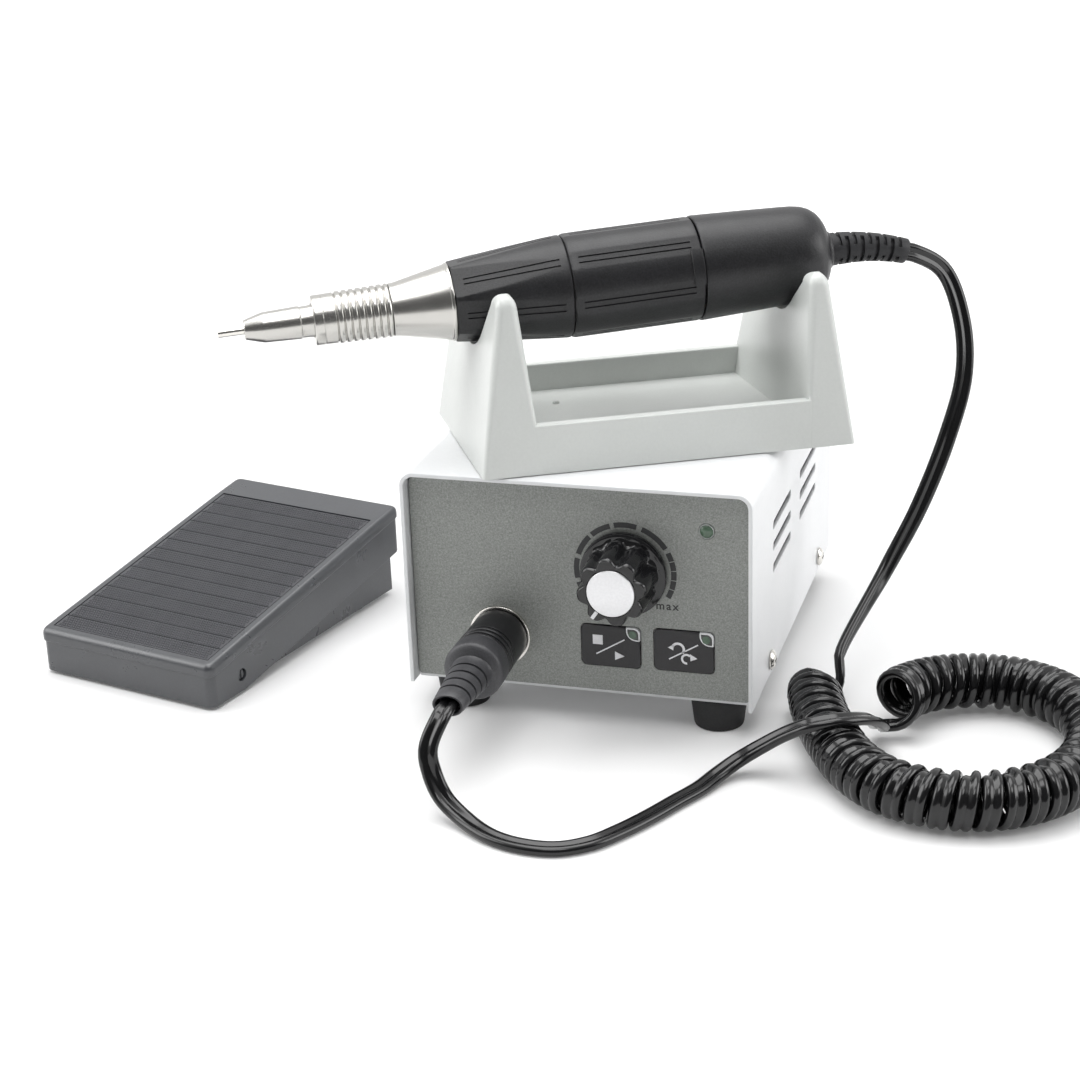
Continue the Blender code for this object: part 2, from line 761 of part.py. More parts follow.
def make_motor_plug(axis, socket_front):
    """Moulded plug: metal shell in the socket, ridged body, band, shoulder and slotted flat relief."""
    start = socket_front + fit_gap
    shell = socket_bore_radius - fit_gap
    rows = [(start - plug_shell_length, shell, shell), (start, shell, shell),
            (start, plug_radius, plug_radius), (start + plug_body, plug_radius, plug_radius)]
    z = start + plug_body
    low = plug_radius - plug_ridge_depth
    for k in range(plug_ridge_count):
        groove, ridge = [z + plug_ridge_pitch * share for share in groove_shares]
        rows += [(groove, low, low), (ridge, plug_radius, plug_radius)]
        z += plug_ridge_pitch
    rows += [(z, plug_band_radius, plug_band_radius),
             (z + plug_band, plug_band_radius, plug_band_radius)]
    z += plug_band + plug_shoulder
    rows.append((z, *relief_start_half))
    for k in range(relief_slot_count):
        for share, dented in slot_shares:
            along = (k + share) / (relief_slot_count + slot_shares[0][0])
            dent = relief_slot_depth * dented
            half = [a + (b - a) * along - dent for a, b in zip(relief_start_half, relief_end_half)]
            rows.append((z + along * relief_length, *half))
    rows.append((z + relief_length, *relief_end_half))
    rings = [ring(a, b, z_at, shown_sides) for z_at, a, b in rows]
    place(loft("motor_plug", rings), satin_black, axis)
    return z + relief_length


# Inside the control box

def make_circuit_board():
    """Control board on the back of the potentiometer, beside the motor socket."""
    front = wall_front + sheet + 2 * fit_gap + pot_depth
    low_z = chassis_low + sheet + board_rise
    left = socket_x + socket_barrel_radius + board_margin
    right = panel_width / 2 - sheet - board_margin
    item = block("circuit_board", (left, front, low_z),
                 (right, front + board_thickness, low_z + board_height))
    return place(item, board_green)


def make_transformer():
    """Laminated core with two windows, standing on the chassis, and the winding round its middle limb."""
    base = chassis_low + sheet + fit_gap
    low_y = core_y - core_stack / 2
    core = block("transformer_core", (-core_width / 2, low_y, base),
                 (core_width / 2, low_y + core_stack, base + core_height))
    window = (core_width - 4 * core_limb) / 2
    windows = []
    for side in (-1, 1):
        near, far = sorted((side * core_limb, side * (core_limb + window)))
        windows.append(block("cutter", (near, low_y - cut_over, base + core_limb),
                             (far, low_y + core_stack + cut_over, base + core_height - core_limb)))
    cut(core, windows)
    place(core, core_iron)
    half = (core_limb + fit_gap, core_stack / 2 + fit_gap)
    room = min(coil_wall, window - 2 * fit_gap)
    tall = (core_height - 2 * core_limb) * coil_length_share / 2
    middle = base + core_height / 2
    rings = []
    for grow, z in ((room, middle - tall), (room, middle + tall), (0, middle + tall), (0, middle - tall)):
        x, y = half[0] + grow, half[1] + grow
        rings.append([(-x, core_y - y, z), (x, core_y - y, z), (x, core_y + y, z), (-x, core_y + y, z)])
    place(loft("transformer_coil", rings, hollow=True), winding_copper)


# Rear connectors

def make_mains_inlet():
    """Open recess for the mains lead, with a flange on the rear wall and three blades inside."""
    rear = box_depth + fit_gap
    centre, size = (inlet_x, inlet_z), (inlet_width, inlet_height)
    item = window("mains_inlet", centre, size, rear - inlet_depth, rear + inlet_flange / 2)
    join(item, [window("flange", centre, size, rear, rear + inlet_flange, inlet_flange)])
    bottom = rear - inlet_depth + inlet_wall
    cut(item, [window("cutter", centre, size, bottom, rear + inlet_flange + cut_over, -inlet_wall)])
    return place(item, satin_black)


def make_power_switch():
    """Rocker in a frame on the rear wall; it rocks about a level axis through its middle."""
    rear = box_depth + fit_gap
    centre, size = (rocker_x, rocker_z), (rocker_width, rocker_height)
    case = window("power_switch_frame", centre, size, rear - rocker_depth, rear + rocker_case / 2,
                  rocker_case)
    join(case, [window("flange", centre, size, rear, rear + rocker_case, 2 * rocker_case)])
    bottom = rear - rocker_depth + rocker_case
    cut(case, [window("cutter", centre, size, bottom, rear + rocker_case + cut_over)])
    place(case, satin_black)
    axis = empty("power_rocker_axis", (rocker_x, rear - rocker_case, rocker_z))
    reach = rocker_height / 2 - rocker_clearance
    swing = sin(radians(rocker_swing / 2)) * reach
    face = rocker_case + rocker_proud
    drop, foot = rocker_depth * rocker_root_shares[0], reach * rocker_root_shares[1]
    outline = [(-drop, -foot), (face - swing, -reach), (face - swing / 2, 0),
               (face + swing / 2, reach), (-drop, foot)]
    side = rocker_width / 2 - fit_gap
    rocker = prism("power_rocker", outline, -side, side, "x")
    place(rocker, gloss_black, axis)


def make_rear_round_parts():
    """Fuse holder with its cap, and the jack that the foot pedal plugs into."""
    fuse_axis = empty("fuse_holder_axis", (fuse_x, box_depth, fuse_z), facing_rear)
    fuse = [(-fuse_depth, fuse_radius - fuse_taper), (-sheet - 2 * fit_gap, fuse_radius),
            (fit_gap, fuse_radius),
            (fit_gap, fuse_flange_radius), (fuse_flange, fuse_flange_radius), (2 * fuse_flange, fuse_radius)]
    place(turned("fuse_holder", fuse, hidden_sides), satin_black, fuse_axis)
    jack_axis = empty("pedal_jack_axis", (jack_x, box_depth, jack_z), facing_rear)
    outer = [(-jack_depth, jack_radius), (fit_gap, jack_radius), (fit_gap, jack_nut_radius),
             (jack_nut, jack_nut_radius), (jack_nut, jack_bore_radius),
             (sheet - jack_depth, jack_bore_radius), (sheet - jack_depth, jack_bore_radius / 3),
             (-jack_depth, jack_bore_radius / 3)]
    place(turned("pedal_jack", outer, hidden_sides, bored=True), bright_nickel, jack_axis)


# Cradle

def cradle_end_outline(drop):
    """One end wall seen along the cradle: two prongs with a flared round notch between them."""
    half = cradle_width / 2
    lean = cradle_lean
    tip_z = cradle_height - cradle_prong_radius
    tip_y = half - lean - cradle_prong_radius
    right = [(half, 0)]
    for k in range(corner_steps + 1):
        turn = radians(180 * k / corner_steps)
        right.append((tip_y + cradle_prong_radius * cos(turn), tip_z + cradle_prong_radius * sin(turn)))
    centre = notch_bottom - drop + notch_radius
    arc = []
    for k in range(notch_steps + 1):
        turn = radians(notch_open - 90 - 2 * notch_open * k / notch_steps)
        arc.append((notch_radius * cos(turn), centre + notch_radius * sin(turn)))
    left = [(-y, z) for y, z in reversed(right)]
    return right + arc + left


def make_cradle():
    """Tray with a wall along each side and a pronged wall at each end, open underneath."""
    half, half_w = cradle_length / 2, cradle_width / 2
    def outside(z):
        return half - cradle_end_lean * z / cradle_height
    def inside(z):
        return outside(z) - cradle_end_foot - (cradle_tip - cradle_end_foot) * z / cradle_height
    ends = []
    for side, drop in ((-1, notch_fall), (1, 0)):
        outline = cradle_end_outline(drop)
        ends.append(loft("end_wall", [[(side * outside(z), y, z) for y, z in outline],
                                      [(side * inside(z), y, z) for y, z in outline]]))
    rim_share = cradle_wall_height / cradle_height
    lean = cradle_lean * rim_share
    def level(x, y, z):
        return [(-x, -y, z), (x, -y, z), (x, y, z), (-x, y, z)]
    foot = level(half - fit_gap, half_w - fit_gap / 3, 0)
    rim = level(half - cradle_end_lean * rim_share - fit_gap, half_w - lean - fit_gap / 3,
                cradle_wall_height)
    tray = loft("handpiece_cradle", [foot, rim])
    inside_y = half_w - lean - cradle_wall
    pocket_top = cradle_wall_height + cut_over
    pocket = loft("cutter", [level(inside(cradle_floor_top) + fit_gap, inside_y - fit_gap, cradle_floor_top),
                             level(inside(pocket_top) + fit_gap, inside_y, pocket_top)])
    cut(tray, [pocket])
    join(tray, ends)
    under_z = cradle_floor_top - cradle_floor
    under = loft("cutter", [level(half - cradle_wall, half_w - cradle_wall, -cut_over),
                            level(half - 2 * cradle_wall, half_w - 2 * cradle_wall, under_z)])
    hollows = [under]
    for side in (-1, 1):
        loops = []
        for share in (0, 1):
            z = under_z - fit_gap + share * (notch_bottom - notch_fall - cradle_wall - under_z)
            near, far = sorted((side * (outside(z) - cradle_wall), side * (inside(z) + cradle_wall)))
            wide = half_w - 2 * cradle_wall - cradle_lean * z / cradle_height
            loops.append([(near, -wide, z), (far, -wide, z), (far, wide, z), (near, wide, z)])
        hollows.append(loft("cutter", loops))
    cut(tray, hollows)
    tray.rotation_euler = (0, 0, radians(cradle_turn))
    return place(tray, cradle_grey, location=(cradle_x, cradle_y, box_top + fit_gap))


# Handpiece

def handpiece_tilt():
    """Slope at which the grip lies in one notch and the fatter rear cap in the other."""
    share = (handpiece_reach + notch_wall_inside - chuck_start - chuck_length - cone_length) / grip_length
    front_radius = grip_radius_front + (grip_radius_rear - grip_radius_front) * share - flat_depth / 2
    rise = rear_cap_radius - front_radius + notch_fall
    return asin(rise / (cradle_length - 2 * notch_wall_inside))


def handpiece_frame():
    """An empty at the nose: local Z runs back along the axis and local Y points up."""
    turn, tilt = radians(cradle_turn), handpiece_tilt()
    along = Vector((cos(turn) * cos(tilt), sin(turn) * cos(tilt), sin(tilt)))
    side = Vector((-sin(turn), cos(turn), 0))
    up = along.cross(side)
    level = Vector((cos(turn), sin(turn), 0))
    centre = Vector((cradle_x, cradle_y, box_top + fit_gap))
    far = cradle_length - notch_wall_inside
    rest = centre + level * (far - cradle_length / 2)
    rest += Vector((0, 0, notch_bottom + (rear_cap_radius + fit_gap) / cos(tilt)))
    nose = rest - along * (handpiece_reach + far)
    frame = Matrix((side, up, along)).transposed().to_4x4()
    frame.translation = nose
    item = empty("handpiece_axis", (0, 0, 0))
    item.matrix_world = frame
    return item


def make_nose(axis):
    """Steel nose with its spigot in the sleeve, bored for the collet."""
    bore = collet_radius + running_gap
    wide = spindle_radius + fit_gap
    rear = nose_length + nose_spigot
    profile = [(0, nose_tip_radius), (nose_chamfer, nose_chamfer_radius),
               (nose_length - fit_gap, nose_radius),
               (nose_length, nose_radius - fit_gap), (rear, nose_radius - fit_gap), (rear, wide),
               (nose_length, wide), (nose_length, bore), (0, bore)]
    place(turned("nose", profile, shown_sides, bored=True), turned_steel, axis)


def make_chuck_ring(axis):
    """Ribbed steel ring that opens the collet when it is twisted."""
    end = chuck_start + chuck_length
    bore = sleeve_tube_radius + fit_gap
    mouth = nose_radius + fit_gap
    lip = chuck_start + nose_spigot - fit_gap
    profile = [(chuck_start, chuck_front_radius), (chuck_start + chuck_collar, chuck_front_radius)]
    pitch = (chuck_length - chuck_collar) / chuck_rib_count
    for k in range(chuck_rib_count):
        z = chuck_start + chuck_collar + k * pitch
        radius = chuck_front_radius + (chuck_rear_radius - chuck_front_radius) * (k + 1) / chuck_rib_count
        groove, ridge = [z + pitch * share for share in groove_shares]
        profile += [(groove, radius - rib_depth), (ridge, radius)]
    profile += [(end, chuck_rear_radius), (end, bore), (lip, bore), (lip, mouth), (chuck_start, mouth)]
    place(turned("chuck_ring", profile, shown_sides, bored=True), turned_steel, axis)
    return end


def make_sleeve(axis, chuck_end):
    """Steel sleeve: inner tube under the chuck ring, polished cone, and a skirt inside the grip."""
    tube_start = nose_length + nose_spigot + fit_gap
    cone_start = chuck_end + fit_gap
    cone_end = cone_start + cone_length
    seat_end = tube_start + fit_gap + bearing_length + fit_gap
    bore = spindle_radius + fit_gap
    seat = front_bearing_radius + fit_gap
    rear_seat = rear_bearing_radius + fit_gap
    rear_end = cone_end + sleeve_skirt
    rear_seat_start = rear_end - bearing_length - 2 * fit_gap
    profile = [
        (tube_start, sleeve_tube_radius), (cone_start, sleeve_tube_radius), (cone_start, chuck_rear_radius),
        (cone_end - bead_length, cone_radius), (cone_end - bead_length / 2, bead_radius),
        (cone_end, cone_radius), (cone_end, sleeve_skirt_radius), (rear_end, sleeve_skirt_radius),
        (rear_end, rear_seat), (rear_seat_start, rear_seat), (rear_seat_start, bore), (seat_end, bore),
        (seat_end, seat), (tube_start, seat),
    ]
    place(turned("front_sleeve", profile, shown_sides, bored=True), turned_steel, axis)
    inner = spindle_radius + running_gap
    front = seat_end - fit_gap
    rear = rear_seat_start + fit_gap
    for name, start, radius in (("front_bearing", front - bearing_length, front_bearing_radius),
                                ("rear_bearing", rear, rear_bearing_radius)):
        bearing = tube(name, start, start + bearing_length, radius, inner, hidden_sides)
        place(bearing, bright_nickel, axis)
    return cone_end


def flatted_ring(radius, z, depth, sides_each=6):
    """A circle with equal flats pressed into it, between rounded ridges."""
    loop = []
    count = flat_count * sides_each
    for k in range(count):
        turn = 2 * pi * (k + 1 / 2) / count
        within = (turn * flat_count / (2 * pi)) % 1 - 1 / 2
        dip = depth * max(0, 1 - (2 * within / flat_share) ** 2)
        loop.append(((radius - dip) * sin(turn), (radius - dip) * cos(turn), z))
    return loop


def round_ring(radius, z, sides_each=6):
    return flatted_ring(radius, z, 0, sides_each)


def make_casings(axis, grip_start):
    """Black grip and middle casing, both with seven flats, and the smooth rear cap."""
    start = grip_start + fit_gap
    end = start + grip_length - fit_gap
    front_bore = sleeve_skirt_radius + fit_gap
    rear_bore = casing_bore_radius
    step_z = grip_start + sleeve_skirt + fit_gap
    middle = (start + end) / 2
    swell = (grip_radius_front + grip_radius_rear) / 2
    rings = [round_ring(grip_radius_front - fit_gap, start), round_ring(grip_radius_front, start + fit_gap),
             flatted_ring(swell, middle, flat_depth),
             flatted_ring(grip_radius_rear, end - bead_length, flat_depth / 2),
             round_ring(grip_radius_rear, end), round_ring(rear_bore, end),
             round_ring(front_bore, step_z), round_ring(front_bore, start)]
    place(loft("grip_shell", rings, hollow=True), satin_black, axis)
    casing_start = end + fit_gap
    casing_end = casing_start + casing_length
    rings = [round_ring(grip_radius_rear, casing_start),
             flatted_ring(casing_radius, casing_start + bead_length, flat_depth / 2),
             flatted_ring(casing_radius, casing_end - bead_length, flat_depth),
             round_ring(casing_radius, casing_end), round_ring(casing_bore_radius, casing_end),
             round_ring(casing_bore_radius, casing_start)]
    place(loft("middle_casing", rings, hollow=True), satin_black, axis)
    cap_start = casing_end + fit_gap
    cap_end = cap_start + cap_length
    inner = rear_cap_radius - rear_cap_wall
    hole = boot_root_radius + fit_gap
    profile = [(cap_start, rear_cap_radius), (cap_end - rear_cap_round, rear_cap_radius)]
    for k in range(1, corner_steps + 1):
        turn = radians(90 * k / corner_steps)
        z = cap_end - rear_cap_round * (1 - sin(turn))
        profile.append((z, rear_cap_radius - rear_cap_round * (1 - cos(turn))))
    inner_end = cap_end - rear_cap_wall
    flange_room = boot_flange_radius + fit_gap
    profile += [(cap_end, hole), (inner_end, hole), (inner_end, flange_room),
                (inner_end - boot_flange - 2 * fit_gap, flange_room),
                (cap_end - rear_cap_round, inner), (cap_start, inner)]
    place(turned("rear_cap", profile, shown_sides, bored=True), satin_black, axis)
    return end, casing_start, casing_end, cap_start, cap_end


def boot_path(share, start):
    """Centre of the strain relief: it leaves along the axis and droops."""
    return -boot_droop * share * share, start + boot_length * share


def make_boot(axis, cap_end):
    """Rubber strain relief with ribs, held by a flange inside the rear cap."""
    inner = cap_end - rear_cap_wall - fit_gap
    rows = [(inner - boot_flange, boot_flange_radius, 0), (inner, boot_flange_radius, 0),
            (inner, boot_root_radius, 0), (cap_end, boot_root_radius, 0)]
    for k in range(boot_rib_count):
        for share, dented in slot_shares:
            along = (k + share) / (boot_rib_count + slot_shares[0][0])
            radius = boot_root_radius + (boot_tip_radius - boot_root_radius) * along
            drop, z = boot_path(along, cap_end)
            rows.append((z, radius - dented * boot_rib_depth, drop))
    drop, z = boot_path(1, cap_end)
    rows.append((z, boot_tip_radius, drop))
    slope = 2 * boot_droop / boot_length
    rings = []
    for z_at, radius, drop_at in rows:
        lean = slope * max(0, z_at - cap_end) / boot_length
        loop = []
        for k in range(hidden_sides):
            turn = 2 * pi * k / hidden_sides
            x, y = radius * cos(turn), radius * sin(turn)
            loop.append((x, drop_at + y, z_at + y * lean))
        rings.append(loop)
    place(loft("strain_relief", rings), rubber_black, axis)
    end = axis.matrix_world @ Vector((0, drop, z))
    ahead = axis.matrix_world.to_3x3() @ Vector((0, -slope, 1)).normalized()
    return end, ahead


def make_motor(axis, grip_end, casing_start, casing_end, cap_start):
    """Pin, collet, spindle, coupling, rotor, magnets and brush ring, all on the handpiece axis."""
    pin = [(-pin_showing, pin_radius - running_gap), (running_gap - pin_showing, pin_radius),
           (pin_held, pin_radius)]
    place(turned("test_pin", pin, small_sides), bright_nickel, axis)
    collet_end = collet_start + collet_length
    place(tube("collet", collet_start, collet_end, collet_radius, pin_radius + running_gap, small_sides),
          turned_steel, axis)
    spindle_start = nose_length + 2 * fit_gap
    core_start = casing_start + rotor_core_start
    joint_end = core_start - winding_overhang - coupling_clearance
    joint_start = joint_end - coupling_length
    spindle_end = joint_start + coupling_grip
    bore = collet_radius + running_gap
    blind = collet_end + 4 * fit_gap + nose_spigot
    spindle = [(spindle_start, spindle_radius), (spindle_end, spindle_radius), (spindle_end, bore / 4),
               (blind, bore / 4), (blind, bore), (spindle_start, bore)]
    place(turned("spindle", spindle, hidden_sides, bored=True), turned_steel, axis)
    web = spindle_end + fit_gap
    fat, thin = spindle_radius + fit_gap, rotor_shaft_radius + fit_gap
    coupling = [(joint_start, coupling_radius), (joint_end, coupling_radius), (joint_end, thin),
                (web + coupling_web, thin), (web + coupling_web, thin / 4), (web, thin / 4), (web, fat),
                (joint_start, fat)]
    place(turned("coupling", coupling, hidden_sides, bored=True), brass, axis)
    shaft_start = web + coupling_web + fit_gap
    core_end = core_start + rotor_core
    brush_start = cap_start + fit_gap
    bearing_end = brush_start + brush_ring_length - fit_gap
    bearing_start = bearing_end - bearing_length
    comm_start = brush_start + fit_gap
    rotor = [(shaft_start, rotor_shaft_radius), (core_start - winding_overhang, rotor_shaft_radius),
             (core_start - winding_overhang, winding_radius), (core_start, winding_radius),
             (core_start, rotor_core_radius), (core_end, rotor_core_radius), (core_end, winding_radius),
             (core_end + winding_overhang, winding_radius), (core_end + winding_overhang, rotor_shaft_radius),
             (comm_start, rotor_shaft_radius), (comm_start, commutator_radius),
             (comm_start + commutator, commutator_radius), (comm_start + commutator, rotor_shaft_radius),
             (bearing_end, rotor_shaft_radius)]
    place(turned("rotor", rotor, hidden_sides), winding_copper, axis)
    outer = casing_bore_radius - fit_gap
    magnets = tube("magnet_ring", casing_start + fit_gap, casing_end - fit_gap, outer, outer - magnet_wall,
                   hidden_sides)
    place(magnets, ferrite, axis)
    inner = commutator_radius + fit_gap
    seat = motor_bearing_radius + fit_gap
    seat_start = bearing_start - fit_gap
    brush = [(brush_start, brush_ring_radius), (brush_start + brush_ring_length, brush_ring_radius),
             (brush_start + brush_ring_length, seat), (seat_start, seat), (seat_start, inner),
             (brush_start, inner)]
    place(turned("brush_ring", brush, hidden_sides, bored=True), brass, axis)
    place(tube("motor_bearing", bearing_start, bearing_end, motor_bearing_radius,
               rotor_shaft_radius + running_gap, hidden_sides), bright_nickel, axis)


# Foot pedal

def pedal_top(y):
    """Height of the pedal's top face over the floor at a place along it."""
    if y <= pedal_break:
        return pedal_nose_height + (pedal_break_height - pedal_nose_height) * y / pedal_break
    share = (y - pedal_break) / (pedal_length - pedal_break)
    return pedal_break_height + (pedal_rear_height - pedal_break_height) * share


def pedal_roof(y):
    """Height of the underside of the pedal's top, between the toe and the break."""
    return pedal_top(y) - max(pedal_wall, pad_pocket + fit_gap)


def make_pedal():
    frame = empty("pedal_place", (pedal_x, pedal_y, 0), (0, 0, radians(pedal_turn)))
    hinge = empty("treadle_axis", (0, hinge_y, hinge_z), parent=frame)
    make_treadle(hinge)
    make_pedal_base(frame)
    make_pedal_works(frame)


def make_treadle(hinge):
    """Cover shell, open underneath, with a banded pad in a pocket on top."""
    edge = pedal_edge
    length = pedal_length
    outline = [
        (0, pedal_skirt_front), (0, pedal_nose_height - 2 * edge), (edge / 2, pedal_nose_height - edge / 2),
        (2 * edge, pedal_top(2 * edge)), (pedal_break, pedal_break_height),
        (length - edge, pedal_top(length - edge)), (length, pedal_rear_height - edge),
        (length, pedal_skirt_rear), (pedal_skirt_start, pedal_skirt_front)]
    cover = prism("treadle_cover", outline, 0, pedal_width, "x")
    bevel_edges(cover, edge, 2, 60)
    wall = pedal_wall
    inside = [(wall, -cut_over), (wall, pedal_nose_height - 2 * wall),
              (2 * wall, pedal_top(2 * wall) - wall), (pedal_break, pedal_break_height - wall),
              (length - wall, pedal_top(length - wall) - wall), (length - wall, -cut_over)]
    hollow = prism("cutter", inside, wall, pedal_width - wall, "x")
    pad_start, pad_end = pad_margin_toe, pedal_break - fit_gap
    pocket = [(pad_start - fit_gap, pedal_top(pad_start - fit_gap) - pad_pocket),
              (pad_end + fit_gap, pedal_top(pad_end + fit_gap) - pad_pocket),
              (pad_end + fit_gap, pedal_top(pad_end) + cut_over),
              (pad_start - fit_gap, pedal_top(pad_start) + cut_over)]
    recess = prism("cutter", pocket, pad_margin_side - fit_gap, pedal_width - pad_margin_side + fit_gap, "x")
    pin_hole = axis_cutter(-cut_over, pedal_width + cut_over, hinge_radius + running_gap,
                           (hinge_y, hinge_z), "x")
    cut(cover, [hollow, recess, pin_hole])
    cover.data.transform(Matrix.Translation((0, -hinge_y, -hinge_z)))
    place(cover, pedal_black, hinge)

    lift = pad_pocket - fit_gap
    pitch = (pad_end - pad_start) / pad_band_count
    top = []
    for k in range(pad_band_count):
        y = pad_start + k * pitch
        rest = pitch * pad_groove_share
        top += [(y, 0), (y + pitch - 2 * rest, 0), (y + pitch - 3 * rest / 2, -pad_groove),
                (y + pitch - rest / 2, -pad_groove)]
    surface = [(y, pedal_top(y) + dip) for y, dip in top] + [(pad_end, pedal_top(pad_end))]
    under = [(pad_end, pedal_top(pad_end) - lift), (pad_start, pedal_top(pad_start) - lift)]
    pad = prism("tread_pad", surface + under, pad_margin_side, pedal_width - pad_margin_side, "x")
    pad.data.transform(Matrix.Translation((0, -hinge_y, -hinge_z)))
    place(pad, rubber_black, hinge)


def make_pedal_base(frame):
    """Tray inside the cover, with side walls that carry the hinge pin and a bar under the toe."""
    side = pedal_wall + pedal_base_gap
    low, high = pedal_bottom, pedal_bottom + pedal_floor
    rear = pedal_length - pedal_wall - 2 * pedal_base_gap
    start = pedal_base_start
    outline = [(start, low), (rear, low), (rear, pedal_base_rear),
               (hinge_y + 2 * pedal_base_front, hinge_z + pedal_base_front / 2),
               (hinge_y, hinge_z + pedal_base_front / 2 - fit_gap), (start, hinge_z)]
    base = prism("pedal_base", outline, side, pedal_width - side, "x")
    wall = pedal_wall
    right = pedal_width - side - wall
    inside = block("cutter", (side + wall, start + wall, high),
                   (right, rear - wall, pedal_rear_height + cut_over))
    toe = block("toe", (side + wall, start, 0), (right, start + toe_bar, high - pedal_floor / 2))
    pin_hole = axis_cutter(0, pedal_width, hinge_radius + fit_gap, (hinge_y, hinge_z), "x")
    cut(base, [inside, pin_hole])
    join(base, [toe])
    place(base, pedal_black, frame)


def make_pedal_works(frame):
    """Hinge pin, return spring, micro switch and the two rubber feet under the heel."""
    pin = rod("hinge_pin", -pedal_width / 2 + fit_gap, pedal_width / 2 - fit_gap, hinge_radius, small_sides)
    pin.rotation_euler = (0, pi / 2, 0)
    place(pin, bright_nickel, frame, (pedal_width / 2, hinge_y, hinge_z))
    floor_z = pedal_bottom + pedal_floor + fit_gap
    make_spring(frame, floor_z, pedal_roof(spring_y - spring_radius - spring_wire) - fit_gap)
    x = pedal_width * switch_x_share
    plunger_y = switch_y - switch_length / 4
    drop = (plunger_y - hinge_y) * sin(radians(press_angle))
    plunger_top = pedal_roof(plunger_y - switch_plunger) - drop - fit_gap
    near, far = switch_y - switch_length / 2, switch_y + switch_length / 2
    front, back = plunger_y - switch_plunger / 2, plunger_y + switch_plunger / 2
    case_top = floor_z + switch_height
    outline = [(near, floor_z), (far, floor_z), (far, case_top), (back, case_top), (back, plunger_top),
               (front, plunger_top), (front, case_top), (near, case_top)]
    switch = prism("micro_switch", outline, x - switch_width / 2, x + switch_width / 2, "x")
    place(switch, satin_black, frame)
    for name, x in (("left", pedal_foot_inset), ("right", pedal_width - pedal_foot_inset)):
        foot = turned(f"pedal_foot_{name}", [(0, pedal_foot_radius - fit_gap), (fit_gap, pedal_foot_radius),
                                             (pedal_bottom - fit_gap, pedal_foot_radius)], small_sides)
        place(foot, rubber_black, frame, (x, pedal_length - 2 * pedal_foot_inset, 0))


def make_spring(frame, low, high):
    """Return spring under the treadle: a helix whose first and last turns lie flat."""
    wire = spring_wire
    closed_pitch = 3 * wire
    open_pitch = (high - low - 2 * wire - 2 * closed_pitch) / (spring_turn_count - 2)
    steps = spring_turn_count * spring_point_count
    points = []
    for k in range(steps + 1):
        done = spring_turn_count * k / steps
        turn = 2 * pi * done
        closed = min(done, 1) + max(0, done - spring_turn_count + 1)
        z = low + wire + closed * closed_pitch + (done - closed) * open_pitch
        points.append((spring_radius * cos(turn), spring_radius * sin(turn), z))
    item = tube_along("return_spring", points, wire, 1)
    place(item, bright_nickel, frame, (pedal_width / 2, spring_y, 0))


# Cord

def tube_along(name, points, radius, resolution):
    """A curve object with a round bevel and filled caps through the points."""
    curve = bpy.data.curves.new(name, "CURVE")
    curve.dimensions = "3D"
    curve.bevel_depth = radius
    curve.bevel_resolution = resolution
    curve.use_fill_caps = True
    line = curve.splines.new("POLY")
    line.points.add(len(points) - 1)
    for slot, point in zip(line.points, points):
        slot.co = (*point, 1.0)
    line.use_smooth = True
    item = bpy.data.objects.new(name, curve)
    bpy.context.scene.collection.objects.link(item)
    return item


def smooth_route(points, spacing):
    """Evenly spaced points on a centripetal curve through the route's own points.

    The stretches before the second point and after the last but one stay straight.
    """
    knots = [Vector(p) for p in points]
    fine = []
    for a, b, c, d in zip(knots, knots[1:], knots[2:], knots[3:]):
        for k in range(16):
            fine.append(spline_point(a, b, c, d, k / 16))
    fine.append(knots[-2])
    lengths = [0.0]
    for p, q in zip(fine, fine[1:]):
        lengths.append(lengths[-1] + (q - p).length)
    count = max(2, round(lengths[-1] / spacing))
    made = []
    for k in range(count + 1):
        want = lengths[-1] * k / count
        i = min(np.searchsorted(lengths, want, side="right"), len(fine) - 1)
        share = (want - lengths[i - 1]) / (lengths[i] - lengths[i - 1])
        made.append(fine[i - 1].lerp(fine[i], share))
    return [knots[0]] + made + [knots[-1]]


def spline_point(a, b, c, d, share):
    """Centripetal Catmull-Rom point between b and c."""
    t0 = 0.0
    t1 = t0 + sqrt((b - a).length)
    t2 = t1 + sqrt((c - b).length)
    t3 = t2 + sqrt((d - c).length)
    t = t1 + (t2 - t1) * share
    p = a * ((t1 - t) / (t1 - t0)) + b * ((t - t0) / (t1 - t0))
    q = b * ((t2 - t) / (t2 - t1)) + c * ((t - t1) / (t2 - t1))
    r = c * ((t3 - t) / (t3 - t2)) + d * ((t - t2) / (t3 - t2))
    low = p * ((t2 - t) / (t2 - t0)) + q * ((t - t0) / (t2 - t0))
    high = q * ((t3 - t) / (t3 - t1)) + r * ((t - t1) / (t3 - t1))
    return low * ((t2 - t) / (t2 - t1)) + high * ((t - t1) / (t2 - t1))


# Middle line of the curls as it lies on the floor, from the handpiece's end round to the plug's end
coil_route = [
    (0.0610, 0.0300, 0.0080), (0.0625, 0.0170, 0.0080), (0.0665, 0.0030, 0.0080),
    (0.0725, -0.0115, 0.0080), (0.0800, -0.0245, 0.0080), (0.0895, -0.0335, 0.0080),
    (0.1010, -0.0372, 0.0080), (0.1130, -0.0365, 0.0080), (0.1240, -0.0310, 0.0080),
    (0.1325, -0.0215, 0.0080), (0.1375, -0.0090, 0.0080), (0.1385, 0.0045, 0.0080),
    (0.1350, 0.0180, 0.0080), (0.1265, 0.0285, 0.0080), (0.1150, 0.0340, 0.0080),
    (0.1025, 0.0325, 0.0085), (0.0925, 0.0255, 0.0095), (0.0865, 0.0160, 0.0105),
    (0.0848, 0.0085, 0.0110),
]


